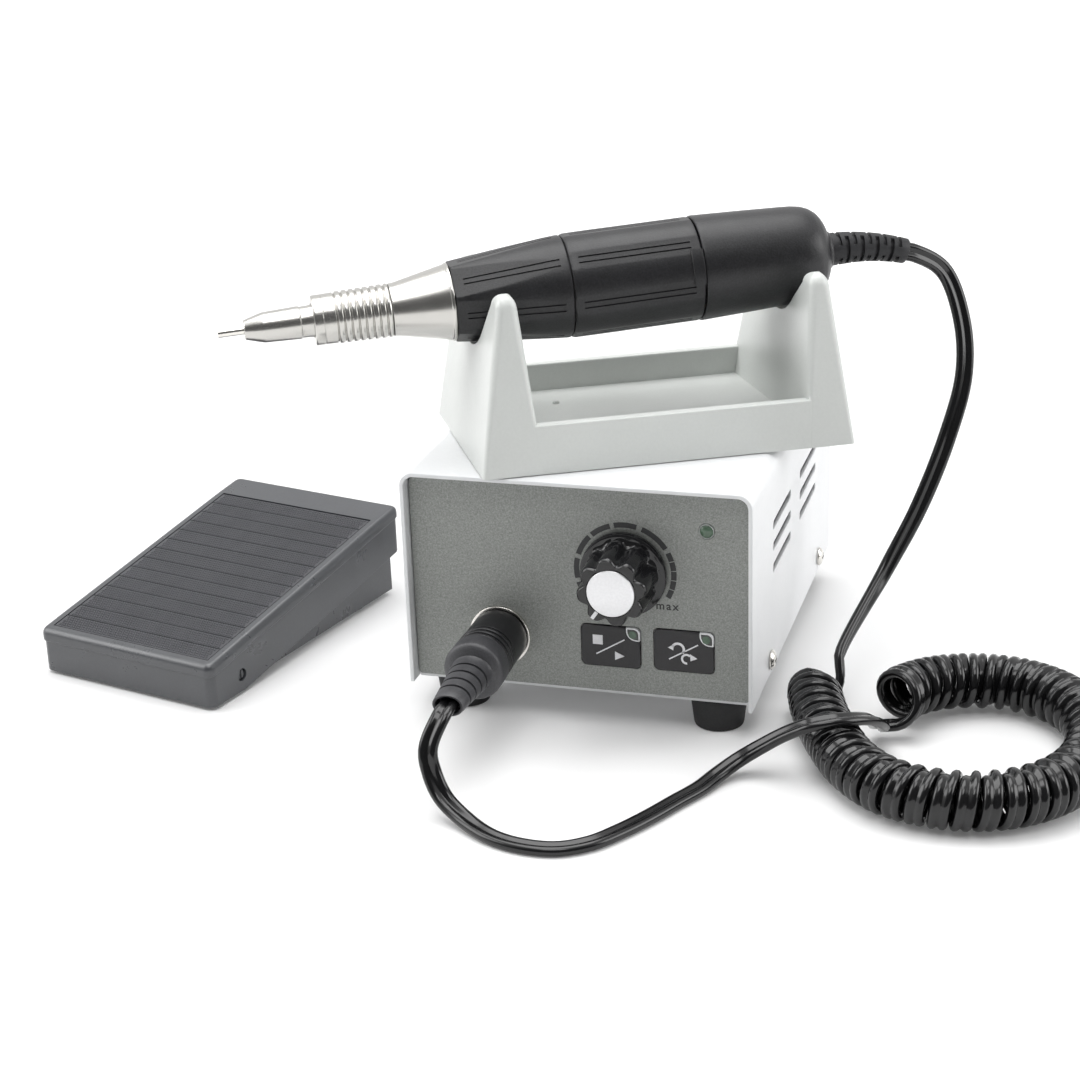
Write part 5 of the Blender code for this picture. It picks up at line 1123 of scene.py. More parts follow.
def relief_rows(start, end):
    """Slotted strain relief: upper slots with lower ones between them, and an open end."""
    rows = []
    length = end - start
    pitch = length / 4.7
    def upper(turn):
        from_top = abs((turn - pi / 2 + pi) % (2 * pi) - pi)
        return 1.0 if from_top < radians(118) else 0.0
    def lower(turn):
        return 1.0 if abs((turn + pi / 2 + pi) % (2 * pi) - pi) < radians(52) else 0.0
    def half(z):
        share = (z - start) / length
        return 5.65 + (4.3 - 5.65) * share, 4.85 + (3.1 - 4.85) * share
    for k in range(8):
        kind = upper if k % 2 == 0 else lower
        middle = start + pitch * (0.35 + k / 2)
        for offset, deep in ((-0.42, 0), (-0.36, 0.85), (0.36, 0.85), (0.42, 0)):
            z = middle + offset
            rows.append(oval(*half(z), z, dent=lambda t, d=deep, s=kind: d * s(t)))
    a, b = half(end)
    rows += [oval(a, b, end - 0.3), oval(a - 0.15, b - 0.15, end - 0.05), oval(a - 0.45, b - 0.4, end),
             oval(a - 0.75, b - 0.6, end - 0.1), oval(a - 0.9, b - 0.75, end - 0.6),
             oval(a - 1.0, b - 0.85, end - 3)]
    return rows


cord_plug = make_socket_and_plug()
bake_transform(motor_cord)


# Cradle

cradle_length, cradle_width, cradle_height = 104.2 * mm, 61.2 * mm, 48.6 * mm
cradle_x, cradle_y, cradle_turn = 8.5 * mm, 44.9 * mm, 27.4
side_lean, end_lean = 4.6 * mm, 6.9 * mm
end_feet = {-1: 17.1 * mm, 1: 13.6 * mm}
end_tip = 5 * mm
end_heights = {-1: 48.6 * mm, 1: 47.4 * mm}
end_skew = 2.8 * mm                  # how much further out the front end's far corner stands
inner_skew = 6.2 * mm                # how much further in the rear end's inner face comes on the far side
prong_radius, cradle_wall, wall_height = 3.3 * mm, 3.1 * mm, 13.4 * mm
floor_top, floor_thickness = 5.4 * mm, 2.2 * mm
notch_radius, notch_open = 15.4 * mm, 50
notch_bottoms = {-1: 29.6 * mm, 1: 31.9 * mm}
notch_edge = 0.8 * mm


def outside(z):
    """Outer face of an end wall at a height."""
    return cradle_length / 2 - end_lean * z / cradle_height


def inside(z, side):
    """Inner face of one end wall at a height."""
    return outside(z) - end_feet[side] - (end_tip - end_feet[side]) * z / cradle_height


def cradle_side(z):
    """Outer face of a long side at a height."""
    return cradle_width / 2 - side_lean * z / cradle_height


def notch_outline(side):
    """Flared round notch between the prongs, with the inner quarter of each prong's round top."""
    centre, height = notch_bottoms[side] + notch_radius, end_heights[side]
    tip_y, tip_z = cradle_width / 2 - side_lean - prong_radius, height - prong_radius
    right = [(tip_y + 2 * mm, height + 5 * mm), (tip_y + 2 * mm, height)]
    for k in range(7):
        turn = radians(90 + 90 * k / 6)
        right.append((tip_y + prong_radius * cos(turn), tip_z + prong_radius * sin(turn)))
    arc = []
    for k in range(29):
        turn = radians(notch_open - 90 - 2 * notch_open * k / 28)
        arc.append((notch_radius * cos(turn), centre + notch_radius * sin(turn)))
    return right + arc + [(-y, z) for y, z in reversed(right)]


def end_wall(side):
    """Leaning wall with round corners and a domed top, notched so that two prongs are left."""
    height = end_heights[side]
    tip_z = height - prong_radius
    levels = [(tip_z * k / 12, 0.0, 0.0) for k in range(13)]
    for k in range(1, 9):
        turn = radians(88 * k / 8)
        levels.append((tip_z + prong_radius * sin(turn), end_tip / 2 * (1 - cos(turn)),
                       prong_radius * (1 - cos(turn))))
    rings = []
    for z, pull_x, pull_y in levels:
        up = z / height
        outer_radius = max(1.2 * mm + 1.2 * mm * up - pull_x, 0.05 * mm)
        inner_radius = max(1.0 * mm + 1.4 * mm * up - pull_x, 0.05 * mm)
        low = (inside(z, side) + pull_x, -cradle_side(z) + pull_y)
        high = (outside(z) - pull_x, cradle_side(z) - pull_y)
        radii = (inner_radius, outer_radius, outer_radius, inner_radius)
        rings.append([(side * x, y, z) for x, y in rounded_rectangle(low, high, radii, 8)])
    wall = skin("end_wall", rings, angle=40)
    for vertex in wall.data.vertices:
        x, y, z = vertex.co
        if side > 0:
            inward = (outside(z) - x) / (outside(z) - inside(z, side))
            vertex.co.x -= inner_skew * min(1.0, inward) * (y / cradle_width + 0.5) * (1 - z / height)
    low, high = sorted((side * (inside(0, side) - 5 * mm), side * (cradle_length / 2 + 5 * mm)))
    boolean(wall, [prism("notch", notch_outline(side), low, high, "x")])
    return bevelled(wall, notch_edge, 4, 50)


def make_cradle():
    at = box_frame @ Matrix.Translation((cradle_x, cradle_y, box_top + 0.3 * mm)) @ Matrix.Rotation(
        radians(cradle_turn), 4, "Z")
    half, half_w = cradle_length / 2, cradle_width / 2
    walls = [end_wall(side) for side in (-1, 1)]
    rim_y = cradle_side(wall_height)
    for side in (-1, 1):
        profile = [(half_w - 0.05 * mm, 0), (rim_y - 0.05 * mm, wall_height),
                   (rim_y - cradle_wall, wall_height), (rim_y - cradle_wall - 0.3 * mm, 3 * mm),
                   (rim_y - cradle_wall - 0.3 * mm, 0)]
        profile = eased(profile[:4], 0.6 * mm) + profile[4:]
        walls.append(prism("side_wall", [(side * y, z) for y, z in profile], -half + 7 * mm, half - 7 * mm,
                           "x"))
    pan_y = rim_y - cradle_wall
    walls.append(block("pan", (-half + 8 * mm, -pan_y, floor_top - floor_thickness),
                       (half - 8 * mm, pan_y, floor_top)))
    item = walls[0]
    boolean(item, walls[1:], "UNION")
    item.name = "handpiece_stand"
    item.data.name = "handpiece_stand"
    hollows = []
    under_z = floor_top - floor_thickness
    for side in (-1, 1):
        loops = []
        for z in (-2 * mm, under_z, min(notch_bottoms.values()) - 3 * cradle_wall):
            up_z = max(z, 0)
            near, far = sorted((side * (outside(up_z) - cradle_wall),
                                side * (inside(up_z, side) + cradle_wall)))
            wide = cradle_side(up_z) - 2 * cradle_wall
            loops.append([(near, -wide, z), (far, -wide, z), (far, wide, z), (near, wide, z)])
        hollows.append(skin("hollow", loops))
    boolean(item, hollows)
    for vertex in item.data.vertices:
        out, across = max(0.0, -vertex.co.x / half), (vertex.co.y + half_w) / cradle_width
        vertex.co.x -= end_skew * out * across
    shade(item.data, 40)
    item.modifiers.new("flat_faces", "WEIGHTED_NORMAL").keep_sharp = True
    bake(item)
    item.data.transform(at)
    settle(item, cradle_plastic, ("handpiece_cradle",))
    pip = in_mm([(0, 0), (0, 1.05), (0.55, 0.95), (0.85, 0.6), (0.95, 0)])
    mark = turned("tray_pip", pip, at @ Matrix.Translation((-23.2 * mm, 13 * mm, floor_top - 0.05 * mm)), 32,
                  ease=0.1 * mm)
    settle(mark, cradle_plastic, like="handpiece_cradle")


make_cradle()


# Handpiece

flat_count = 7
first_flat_turn = 42.6               # the groove pair nearest the top, up from the camera's side
groove_offset, groove_width, groove_depth = 0.875 * mm, 0.5 * mm, 0.4 * mm


def flat_turns():
    """Angle of each flat's middle in the handpiece frame."""
    return [radians(180 - first_flat_turn - 360 * k / flat_count) for k in range(flat_count)]


def groove_profile(offset):
    """How deep the groove pair is at a place across its flat."""
    edge = 0.06 * mm
    inside = abs(abs(offset) - groove_offset)
    half = groove_width / 2
    return groove_depth if inside < half - edge / 2 else 0.0


def flatted_shell(name, stations, apothems, grooves, bore, radius_mean, material, node):
    """Body of revolution cut by seven flats, each with a pair of grooves between two places."""
    arcs = []
    pitch = 2 * pi / flat_count
    steps = 16
    marks = [groove_offset - groove_width / 2, groove_offset - groove_width / 2 + 0.06 * mm,
             groove_offset + groove_width / 2 - 0.06 * mm, groove_offset + groove_width / 2]
    offsets = sorted([-m / radius_mean for m in marks] + [m / radius_mean for m in marks] + [0.0]
                     + [s * (1.6 * mm / radius_mean + (pitch / 2 - 1.6 * mm / radius_mean) * k / steps)
                        for k in range(steps) for s in (-1, 1)] + [-pitch / 2])
    for turn in sorted(flat_turns()):
        arcs += [(turn + offset, offset) for offset in offsets]
    start, end = grooves
    places = sorted(set([z for z, r in stations] + [start, start + 0.05 * mm, end - 0.05 * mm, end]
                        + [stations[0][0] + (stations[-1][0] - stations[0][0]) * k / 16 for k in range(17)]))
    zs, rs = zip(*stations)
    ap_z, ap_r = zip(*apothems)
    rings = []
    for z in places:
        radius = float(np.interp(z, zs, rs))
        apothem = float(np.interp(z, ap_z, ap_r))
        deep_zone = start + 0.04 * mm < z < end - 0.04 * mm
        row = []
        for turn, offset in arcs:
            reach = min(radius, apothem / cos(offset))
            if deep_zone:
                reach -= groove_profile(offset * radius_mean)
            row.append((reach * cos(turn), reach * sin(turn), z))
        rings.append(row)
    def plain(radius, z):
        return [(radius * cos(turn), radius * sin(turn), z) for turn, offset in arcs]
    rings += [plain(bore, stations[-1][0]), plain(bore, stations[0][0])]
    item = skin(name, rings, closed=True, angle=24)
    item.data.transform(handpiece_frame)
    return settle(item, material, (node,))


def make_handpiece_casings():
    at = handpiece_frame
    grip = in_mm([(56.15, 10.7), (56.3, 11.1), (56.55, 11.3), (59.3, 11.56), (83.2, 13.85), (86.8, 14.15),
                  (87.4, 14.1), (87.7, 13.85)])
    flats = in_mm([(56.15, 10.3), (59.3, 10.72), (69, 11.95), (79, 13.25), (85, 14.02), (87.7, 14.3)])
    flatted_shell("grip_casing", grip, flats, (58.9 * mm, 85.3 * mm), 9.6 * mm, 12.6 * mm, casing_black,
                  "grip_shell")
    casing = in_mm([(88.0, 13.85), (88.3, 14.15), (88.9, 14.35), (94, 14.4), (123.5, 14.4), (124.0, 14.3),
                    (124.3, 14.0)])
    flats = in_mm([(88.0, 13.9), (89.2, 14.14), (124.3, 14.14)])
    flatted_shell("centre_casing", casing, flats, (90.4 * mm, 121.6 * mm), 12.5 * mm, 14.4 * mm, casing_black,
                  "middle_casing")
    lap = turned("casing_lap", in_mm([(86.6, 12.3), (86.6, 13.1), (89.4, 13.1), (89.4, 12.3)]), at, 96, True)
    settle(lap, rubber, like="middle_casing")
    marks = [arc_plate("tab", 13.6 * mm, 14.85 * mm, 36, -3, 121.1 * mm, 124.45 * mm),
             arc_plate("line", 13.9 * mm, 14.4 * mm, 15.6, 14.6, 89 * mm, 121.2 * mm, 3),
             arc_plate("square", 13.9 * mm, 14.34 * mm, 29, 20, 104.1 * mm, 106.4 * mm, 6)]
    settle(merged("casing_marks", marks), casing_black, like="middle_casing")
    cap = [(124.6, 13.0), (124.6, 14.25), (124.75, 14.5), (125.1, 14.6), (138, 14.15), (151, 13.6),
           (154, 13.4), (156.4, 13.0), (158.3, 12.3), (160.0, 11.1), (161.3, 9.5), (162.1, 7.9), (162.4, 6.4),
           (162.5, 5.4), (162.5, 4.5), (160.8, 4.5), (160.2, 6.0), (155.0, 11.5), (139, 12.8), (126, 13.0)]
    settle(turned("end_cap", in_mm(cap), at, 112, True, 0.5 * mm, 30), casing_black, ("rear_cap",))
    collar = [(161.6, 4.4), (161.6, 5.9), (163.1, 5.6), (163.8, 5.1), (163.8, 4.4)]
    settle(turned("cap_collar", in_mm(collar), at, 64, True, 0.2 * mm), casing_black, like="rear_cap")


def arc_plate(name, inner, outer, start, end, low_z, high_z, steps=20):
    """A curved plate round the handpiece's axis, between two angles up from the camera's side."""
    turns = [radians(180 - (start + (end - start) * k / steps)) for k in range(steps + 1)]
    ease = 0.25 * mm
    section = [(inner, low_z), (outer - ease, low_z), (outer, low_z + ease), (outer, high_z - ease),
               (outer - ease, high_z), (inner, high_z)]
    rings = [[(r * cos(t), r * sin(t), z) for r, z in section] for t in turns]
    return skin(name, rings, handpiece_frame, angle=40)


def make_handpiece_metal():
    at = handpiece_frame
    nose = [(-0.8, 2.1), (-0.75, 2.5), (-0.55, 2.7), (4.2, 4.08), (4.7, 4.15), (14.3, 4.5), (14.55, 4.42),
            (14.7, 4.28), (16.6, 4.3), (17.6, 4.45), (20, 4.45), (20, 3.5), (17.6, 3.5), (17.6, 2.07),
            (-0.8, 2.07)]
    settle(turned("steel_nose", in_mm(nose), at, 96, True, 0.3 * mm, 25), turned_steel, ("nose",))
    ring = [(17.9, 4.8), (17.9, 6.45), (18.05, 6.75), (18.4, 6.85), (20.5, 6.88), (20.56, 6.78),
            (20.74, 6.78), (20.8, 6.88), (23.7, 6.93)]
    groove_count, groove_pitch, first_groove = 8, 1.93, 24.2
    for k in range(groove_count):
        z, crest = first_groove + groove_pitch * k, 6.98 + 0.04 * k
        ring += [(z - 0.3, crest), (z - 0.12, crest - 0.32), (z, crest - 0.42), (z + 0.12, crest - 0.32),
                 (z + 0.3, crest), (z + 0.6, crest + 0.12), (z + 0.97, crest + 0.16),
                 (z + 1.35, crest + 0.12)]
    ring = ring[:-1] + [(39.0, 7.25), (39.1, 7.1), (39.1, 5.5), (20.0, 5.5), (20.0, 4.8)]
    settle(turned("twist_ring", in_mm(ring), at, 96, True, 0.1 * mm, 30), turned_steel, ("chuck_ring",))
    sleeve = [(20.3, 5.2), (39.25, 5.2), (39.25, 7.1), (39.4, 7.28), (40.6, 7.32), (54.9, 10.42),
              (55.1, 10.6), (55.35, 10.7), (55.8, 10.7), (56.0, 10.52), (56.05, 10.2), (56.05, 9.2),
              (65.5, 9.2), (65.5, 8.2), (61.0, 8.2), (61.0, 3.5), (25.2, 3.5), (25.2, 4.7), (20.3, 4.7)]
    settle(turned("taper_sleeve", in_mm(sleeve), at, 112, True, 0.15 * mm, 25), turned_steel,
           ("front_sleeve",))
    rod = [(-7.9, 0), (-7.9, 1.0), (-7.7, 1.175), (20, 1.175), (20, 0)]
    settle(turned("test_rod", in_mm(rod), at, 40, False, 0.1 * mm), nickel, ("test_pin",))


def make_boot():
    """Strain relief with full slots between pairs of short ones; it droops towards its end."""
    slope = 2 * boot_droop / boot_length
    slot_pitch, slot_half, slot_depth = 4.3, 0.46, 0.95
    slots = [(0.1 + slot_pitch * k / 2, "full" if k % 2 else "short") for k in range(9)]

    def depth(turn, kind):
        toward = abs((turn - pi + pi) % (2 * pi) - pi)
        from_side = min(toward, pi - toward)
        if kind == "full":
            return slot_depth if from_side < radians(60) else 0.0
        return slot_depth if from_side > radians(26) else 0.0

    rows = [(-5.0, 0, "full", 0.0)]
    for z, kind in slots:
        rows += [(z - slot_half - 0.08, 0, kind, 0.0), (z - slot_half, 1, kind, 0.0),
                 (z + slot_half, 1, kind, 0.0), (z + slot_half + 0.08, 0, kind, 0.0)]
    rows += [(20.0, 0, "full", 0.0), (20.25, 0, "full", 0.15), (20.35, 0, "full", 0.4),
             (20.25, 0, "full", 0.55), (18.5, 0, "full", 0.62)]
    rings = []
    for z, deep, kind, less in rows:
        share = max(0.0, z * mm / boot_length)
        radius = boot_root + (boot_tip - boot_root) * share - less * mm
        drop_by = -boot_droop * share * share
        lean = slope * share
        row = []
        for k in range(64):
            turn = 2 * pi * k / 64
            reach = radius - depth(turn, kind) * mm * deep
            x, y = reach * cos(turn), reach * sin(turn)
            row.append((x, drop_by + y, cap_end + z * mm + y * lean))
        rings.append(row)
    item = skin("cord_boot", rings, handpiece_frame, angle=40)
    return settle(item, boot_rubber, ("strain_relief",))


make_handpiece_casings()
make_handpiece_metal()
make_boot()


# Foot pedal

pedal_width, pedal_length = 64 * mm, 99 * mm
nose_height, break_y, break_height, rear_height = 14.3 * mm, 87.3 * mm, 28.3 * mm, 29.9 * mm
skirt_front, skirt_start, skirt_rear = 1 * mm, 16 * mm, 15 * mm
hinge_y, hinge_z, hinge_radius = 14.6 * mm, 6 * mm, 1.75 * mm
spring_y, treadle_travel = 62 * mm, 4.2
pad_margin, pad_end = 3.4 * mm, 87.0 * mm
pad_pocket = 1 * mm
band_count = 14
ridge_pitch = 0.9 * mm
ridge_rows = 5
rim_depth = 3.6 * mm
rim_step = 0.35 * mm


def pedal_top(y):
    if y <= break_y:
        return nose_height + (break_height - nose_height) * y / break_y
    return break_height + (rear_height - break_height) * (y - break_y) / (pedal_length - break_y)


def slope_up():
    """Direction along the pad, and the direction square to it."""
    ahead = Vector((0, break_y, break_height - nose_height)).normalized()
    return ahead, Vector((1, 0, 0)).cross(ahead)


def make_pedal_cover():
    outline = [(0, skirt_front), (0, nose_height), (break_y, break_height), (pedal_length, rear_height),
               (pedal_length, skirt_rear), (skirt_start, skirt_front)]
    item = prism("pedal_cover", outline, 0, pedal_width, "x")
    work = bmesh.new()
    work.from_mesh(item.data)
    upright = [e for e in work.edges if abs(e.verts[0].co.x - e.verts[1].co.x) < 1e-6
               and abs(e.verts[0].co.y - e.verts[1].co.y) < 1e-6]
    bmesh.ops.bevel(work, geom=upright, offset=2.6 * mm, segments=6, affect="EDGES", profile=0.5)
    work.to_mesh(item.data)
    work.free()
    work = bmesh.new()
    work.from_mesh(item.data)
    tops = []
    for e in work.edges:
        if len(e.link_faces) == 2:
            up = [f.normal.z > 0.7 for f in e.link_faces]
            if up[0] != up[1]:
                tops.append(e)
    bmesh.ops.bevel(work, geom=tops, offset=1.9 * mm, segments=5, affect="EDGES", profile=0.5)
    up = slope_up()[1]
    middle = Vector((pedal_width / 2, pedal_length / 2, 0))
    for depth in (rim_depth, rim_depth + 0.25 * mm):
        point = Vector((0, 0, nose_height)) - up * depth
        geometry = list(work.verts) + list(work.edges) + list(work.faces)
        bmesh.ops.bisect_plane(work, geom=geometry, plane_co=point, plane_no=up, dist=1e-7)
    level = Vector((0, 0, nose_height)) - up * (rim_depth + 0.2 * mm)
    for v in work.verts:
        if (v.co - level).dot(up) < 0:
            if abs(v.co.x - middle.x) > pedal_width / 2 - 3 * mm:
                v.co.x += rim_step if v.co.x < middle.x else -rim_step
            if v.co.y < 2.7 * mm:
                v.co.y += rim_step
            elif v.co.y > pedal_length - 2.7 * mm:
                v.co.y -= rim_step
    work.to_mesh(item.data)
    work.free()
    wall = 2 * mm
    inside = [(wall, -2 * mm), (wall, nose_height - 2 * wall), (2 * wall, pedal_top(2 * wall) - wall),
              (break_y, break_height - wall), (pedal_length - wall, pedal_top(pedal_length - wall) - wall),
              (pedal_length - wall, -2 * mm)]
    hollow = prism("hollow", inside, wall, pedal_width - wall, "x")
    start = pad_margin - 0.3 * mm
    end = pad_end + 0.3 * mm
    pocket = [(start, pedal_top(start) - pad_pocket), (end, pedal_top(end) - pad_pocket),
              (end, pedal_top(end) + 2 * mm), (start, pedal_top(start) + 2 * mm)]
    recess = prism("recess", pocket, pad_margin - 0.3 * mm, pedal_width - pad_margin + 0.3 * mm, "x")
    at = Matrix.Translation((0, hinge_y, hinge_z)) @ Matrix.Rotation(pi / 2, 4, "Y")
    hole, past = hinge_radius + 0.12 * mm, 2 * mm
    pin_hole = turned("pin_hole", [(-past, 0), (-past, hole), (pedal_width + past, hole),
                                   (pedal_width + past, 0)], at, 40, ease=0)
    boolean(item, [hollow, recess, pin_hole])
    bevelled(item, 0.18 * mm, 2, 45)
    item.data.transform(pedal_frame)
    return settle(item, pedal_plastic, ("treadle_cover",))


def make_pedal_pad():
    """Banded rubber pad: a bed, rows of short ridges and, in every second groove, a row of pits drawn as flat
    black discs whose black is painted shade.
    """
    ahead, up = slope_up()
    start, end = pad_margin, pad_end
    slant = sqrt(1 + ((break_height - nose_height) / break_y) ** 2)
    length = (end - start) * slant
    width = pedal_width - 2 * pad_margin
    at = pedal_frame @ Matrix.Translation((pad_margin, start, pedal_top(start))) @ Matrix(
        (Vector((1, 0, 0)), ahead, up)).transposed().to_4x4()
    band = length / band_count
    bed = []
    dip, top = -0.42 * mm, -0.16 * mm
    for k in range(band_count):
        y = k * band
        bed += [(y + 0.28 * mm, top), (y + band - 0.28 * mm, top), (y + band - 0.2 * mm, dip),
                (y + band + (0.2 * mm if k < band_count - 1 else -0.2 * mm), dip)]
    bed = [(0, top)] + bed[:-1] + [(length, dip), (length, -0.68 * mm), (0, -0.68 * mm)]
    bed_piece = prism("pad_bed", bed, 0, width, "x", at)
    columns = int((width - 0.8 * mm) / ridge_pitch)
    row_pitch = (band - 0.8 * mm) / ridge_rows
    ridge = ridge_shape(0.52 * mm, row_pitch * 0.74, 0.20 * mm)
    first = ((width - (columns - 1) * ridge_pitch) / 2, 0.4 * mm + row_pitch / 2, top - 0.02 * mm)
    fields = []
    for k in range(ridge_rows):
        shape = ridge if k == ridge_rows - 1 else copy_of(ridge)
        begin = (first[0] + (ridge_pitch / 2 if k % 2 else 0), first[1] + k * row_pitch, first[2])
        count = columns - (1 if k % 2 else 0)
        fields.append(repeated("field", shape, begin, count, (ridge_pitch, 0, 0), band_count, (0, band, 0),
                               pad_rubber, at))
    pad = merged("ribbed_pad", [bed_piece] + fields)
    settle(pad, pad_rubber, ("tread_pad",))
    # The pits are flat discs on the groove bed, coloured black as painted shade for their hollows.
    pit = turned("pit_shape", [(0, 0), (0, 0.2 * mm), (0.05 * mm, 0.2 * mm), (0.05 * mm, 0)],
                 Matrix.Identity(4), 8, ease=0)
    pits = repeated("pad_pits", pit, (first[0] + ridge_pitch / 2, band, dip + 0.02 * mm), columns - 1,
                    (ridge_pitch, 0, 0), band_count // 2, (0, 2 * band, 0), pit_black, at)
    settle(pits, pit_black, like="tread_pad")


def ridge_shape(wide, long, high):
    """Small ridge with sloped sides, open underneath where it sits on the bed."""
    a, b = wide / 2, long / 2
    c, d = a * 0.6, b * 0.82
    points = [(-a, -b, 0), (a, -b, 0), (a, b, 0), (-a, b, 0), (-c, -d, high), (c, -d, high), (c, d, high),
              (-c, d, high)]
    faces = [(0, 3, 2, 1), (4, 5, 6, 7), (0, 1, 5, 4), (1, 2, 6, 5), (2, 3, 7, 6), (3, 0, 4, 7)]
    return mesh_piece("ridge", points, faces)


def copy_of(item):
    return new_object(item.name, item.data.copy())


def make_pedal_rest():
    settle(refined("pedal_tray", "pedal_base", 0.5 * mm, 3), pedal_plastic, ("pedal_base",))
    at = pedal_frame @ Matrix.Translation((0, hinge_y, hinge_z)) @ Matrix.Rotation(pi / 2, 4, "Y")
    pin = [(0.9, 0), (0.9, 1.3), (1.2, 1.7), (62.8, 1.7), (63.1, 1.3), (63.1, 0)]
    rod = turned("hinge_rod", in_mm(pin), Matrix.Identity(4), 40, ease=0.1 * mm)
    slots = [block("slot", (-2 * mm, -0.3 * mm, 0), (2 * mm, 0.3 * mm, 1.5 * mm)),
             block("slot", (-2 * mm, -0.3 * mm, 62.5 * mm), (2 * mm, 0.3 * mm, 64 * mm))]
    boolean(rod, slots)
    rod.data.transform(at)
    settle(rod, pedal_plastic, ("hinge_pin",))
    foot = turned("foot_shape", in_mm([(0, 0), (0, 4.1), (0.3, 4.45), (1.5, 4.5), (1.5, 0)]),
                  Matrix.Identity(4), 40)
    feet = repeated("pedal_feet", foot, (9 * mm, 81 * mm, 0), 2, (46 * mm, 0, 0), 1, (0, 0, 0), rubber,
                    pedal_frame)
    settle(feet, rubber, ("pedal_foot_left", "pedal_foot_right"))
    make_spring()


def make_spring():
    """Return spring under the treadle: a coil of wire with closed end turns, as tall as the CAD spring."""
    low_corner, high_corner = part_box("return_spring")
    low, high = low_corner[2], high_corner[2]
    wire, radius, turns, per_turn = 0.55 * mm, 4.2 * mm, 5, 24
    centre = pedal_frame @ Vector((pedal_width / 2, spring_y, 0))
    closed = 3 * wire
    opened = (high - low - 2 * wire - 2 * closed) / (turns - 2)
    points = []
    for k in range(turns * per_turn + 1):
        done = k / per_turn
        flat = min(done, 1) + max(0, done - turns + 1)
        turn = 2 * pi * done
        points.append(centre + Vector((radius * cos(turn), radius * sin(turn),
                                       low + wire + flat * closed + (done - flat) * opened)))
    rings = []
    for i, p in enumerate(points):
        ahead = (points[min(i + 1, len(points) - 1)] - points[max(i - 1, 0)]).normalized()
        side = square_to(Vector((0, 0, 1)), ahead)
        other = ahead.cross(side)
        rings.append([p + side * (wire * cos(2 * pi * k / 10)) + other * (wire * sin(2 * pi * k / 10))
                      for k in range(10)])
    spring = settle(skin("coil_spring", rings, angle=60), nickel, ("return_spring",))
    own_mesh(spring)


make_pedal_cover()
make_pedal_pad()
make_pedal_rest()


# Rear connectors

inlet_x, inlet_z = -26 * mm, 28 * mm
fuse_x, fuse_z, jack_z = 27 * mm, 26 * mm, 50 * mm


def make_rear_parts():
    settle(refined("inlet_housing", "mains_inlet", 0.35 * mm, 3), plug_black, ("mains_inlet",))
    blade = block("blade", (-0.9 * mm, 0, -2.2 * mm), (0.9 * mm, 13 * mm, 2.2 * mm))
    bevelled(blade, 0.25 * mm, 2)
    blades = repeated("inlet_blades", blade, (inlet_x - 7 * mm, box_depth - 15.2 * mm, inlet_z - 1.5 * mm), 3,
                      (7 * mm, 0, 0), 1, (0, 0, 0), nickel, box_frame)
    settle(blades, nickel, like="mains_inlet")
    settle(refined("switch_bezel", "power_switch_frame", 0.3 * mm, 3), plug_black, ("power_switch_frame",))
    settle(refined("rocker_key", "power_rocker", 0.5 * mm, 4), knob_gloss, ("power_rocker",))
    at = box_frame @ Matrix.Translation((fuse_x, box_depth, fuse_z)) @ facing_rear
    profile = [(-24, 0), (-24, 4.8), (-1.8, 6.0), (0.3, 6.0), (0.3, 8.0), (1.6, 8.0), (3.0, 7.7), (3.3, 6.3),
               (6.0, 5.9), (6.0, 0)]
    fuse = turned("fuse_cap", in_mm(profile), Matrix.Identity(4), 64, ease=0.3 * mm)
    boolean(fuse, [block("slot", (-4 * mm, -0.6 * mm, 4.8 * mm), (4 * mm, 0.6 * mm, 7 * mm))])
    fuse.data.transform(at)
    settle(fuse, plug_black, ("fuse_holder",))
    at = box_frame @ Matrix.Translation((fuse_x, box_depth, jack_z)) @ facing_rear
    barrel = [(-20, 5.2), (2.6, 5.2), (2.9, 4.9), (2.9, 3.5), (2.6, 3.3), (-18.8, 3.3), (-18.8, 1.65),
              (-20, 1.65)]
    jack = turned("jack_barrel", in_mm(barrel), at, 64, True, 0.15 * mm)
    corners = circle(8.08 * mm, 6)
    levels = ((0.3 * mm, 0.86), (0.5 * mm, 0.86), (2.1 * mm, 0.86), (2.4 * mm, 0.82))
    nut = skin("jack_nut", [[(x * s, y * s, z) for x, y in corners] for z, s in levels], at)
    settle(merged("pedal_jack_socket", [jack, nut]), nickel, ("pedal_jack",))


make_rear_parts()


# Materials for the CAD nodes that stay

inner_finishes = {
    "circuit_board": board_green, "transformer_core": core_iron, "transformer_coil": copper,
    "potentiometer": core_iron, "potentiometer_shaft": nickel, "micro_switch": plug_black,
    "front_bearing": nickel, "rear_bearing": nickel, "motor_bearing": nickel, "magnet_ring": ferrite,
    "brush_ring": brass, "spindle": nickel, "coupling": brass, "rotor": copper, "collet": nickel,
}
for node, material in inner_finishes.items():
    for slot_number in range(len(frame["nodes"][node].material_slots)):
        frame["nodes"][node].material_slots[slot_number].material = material


# Floor, backdrop and light

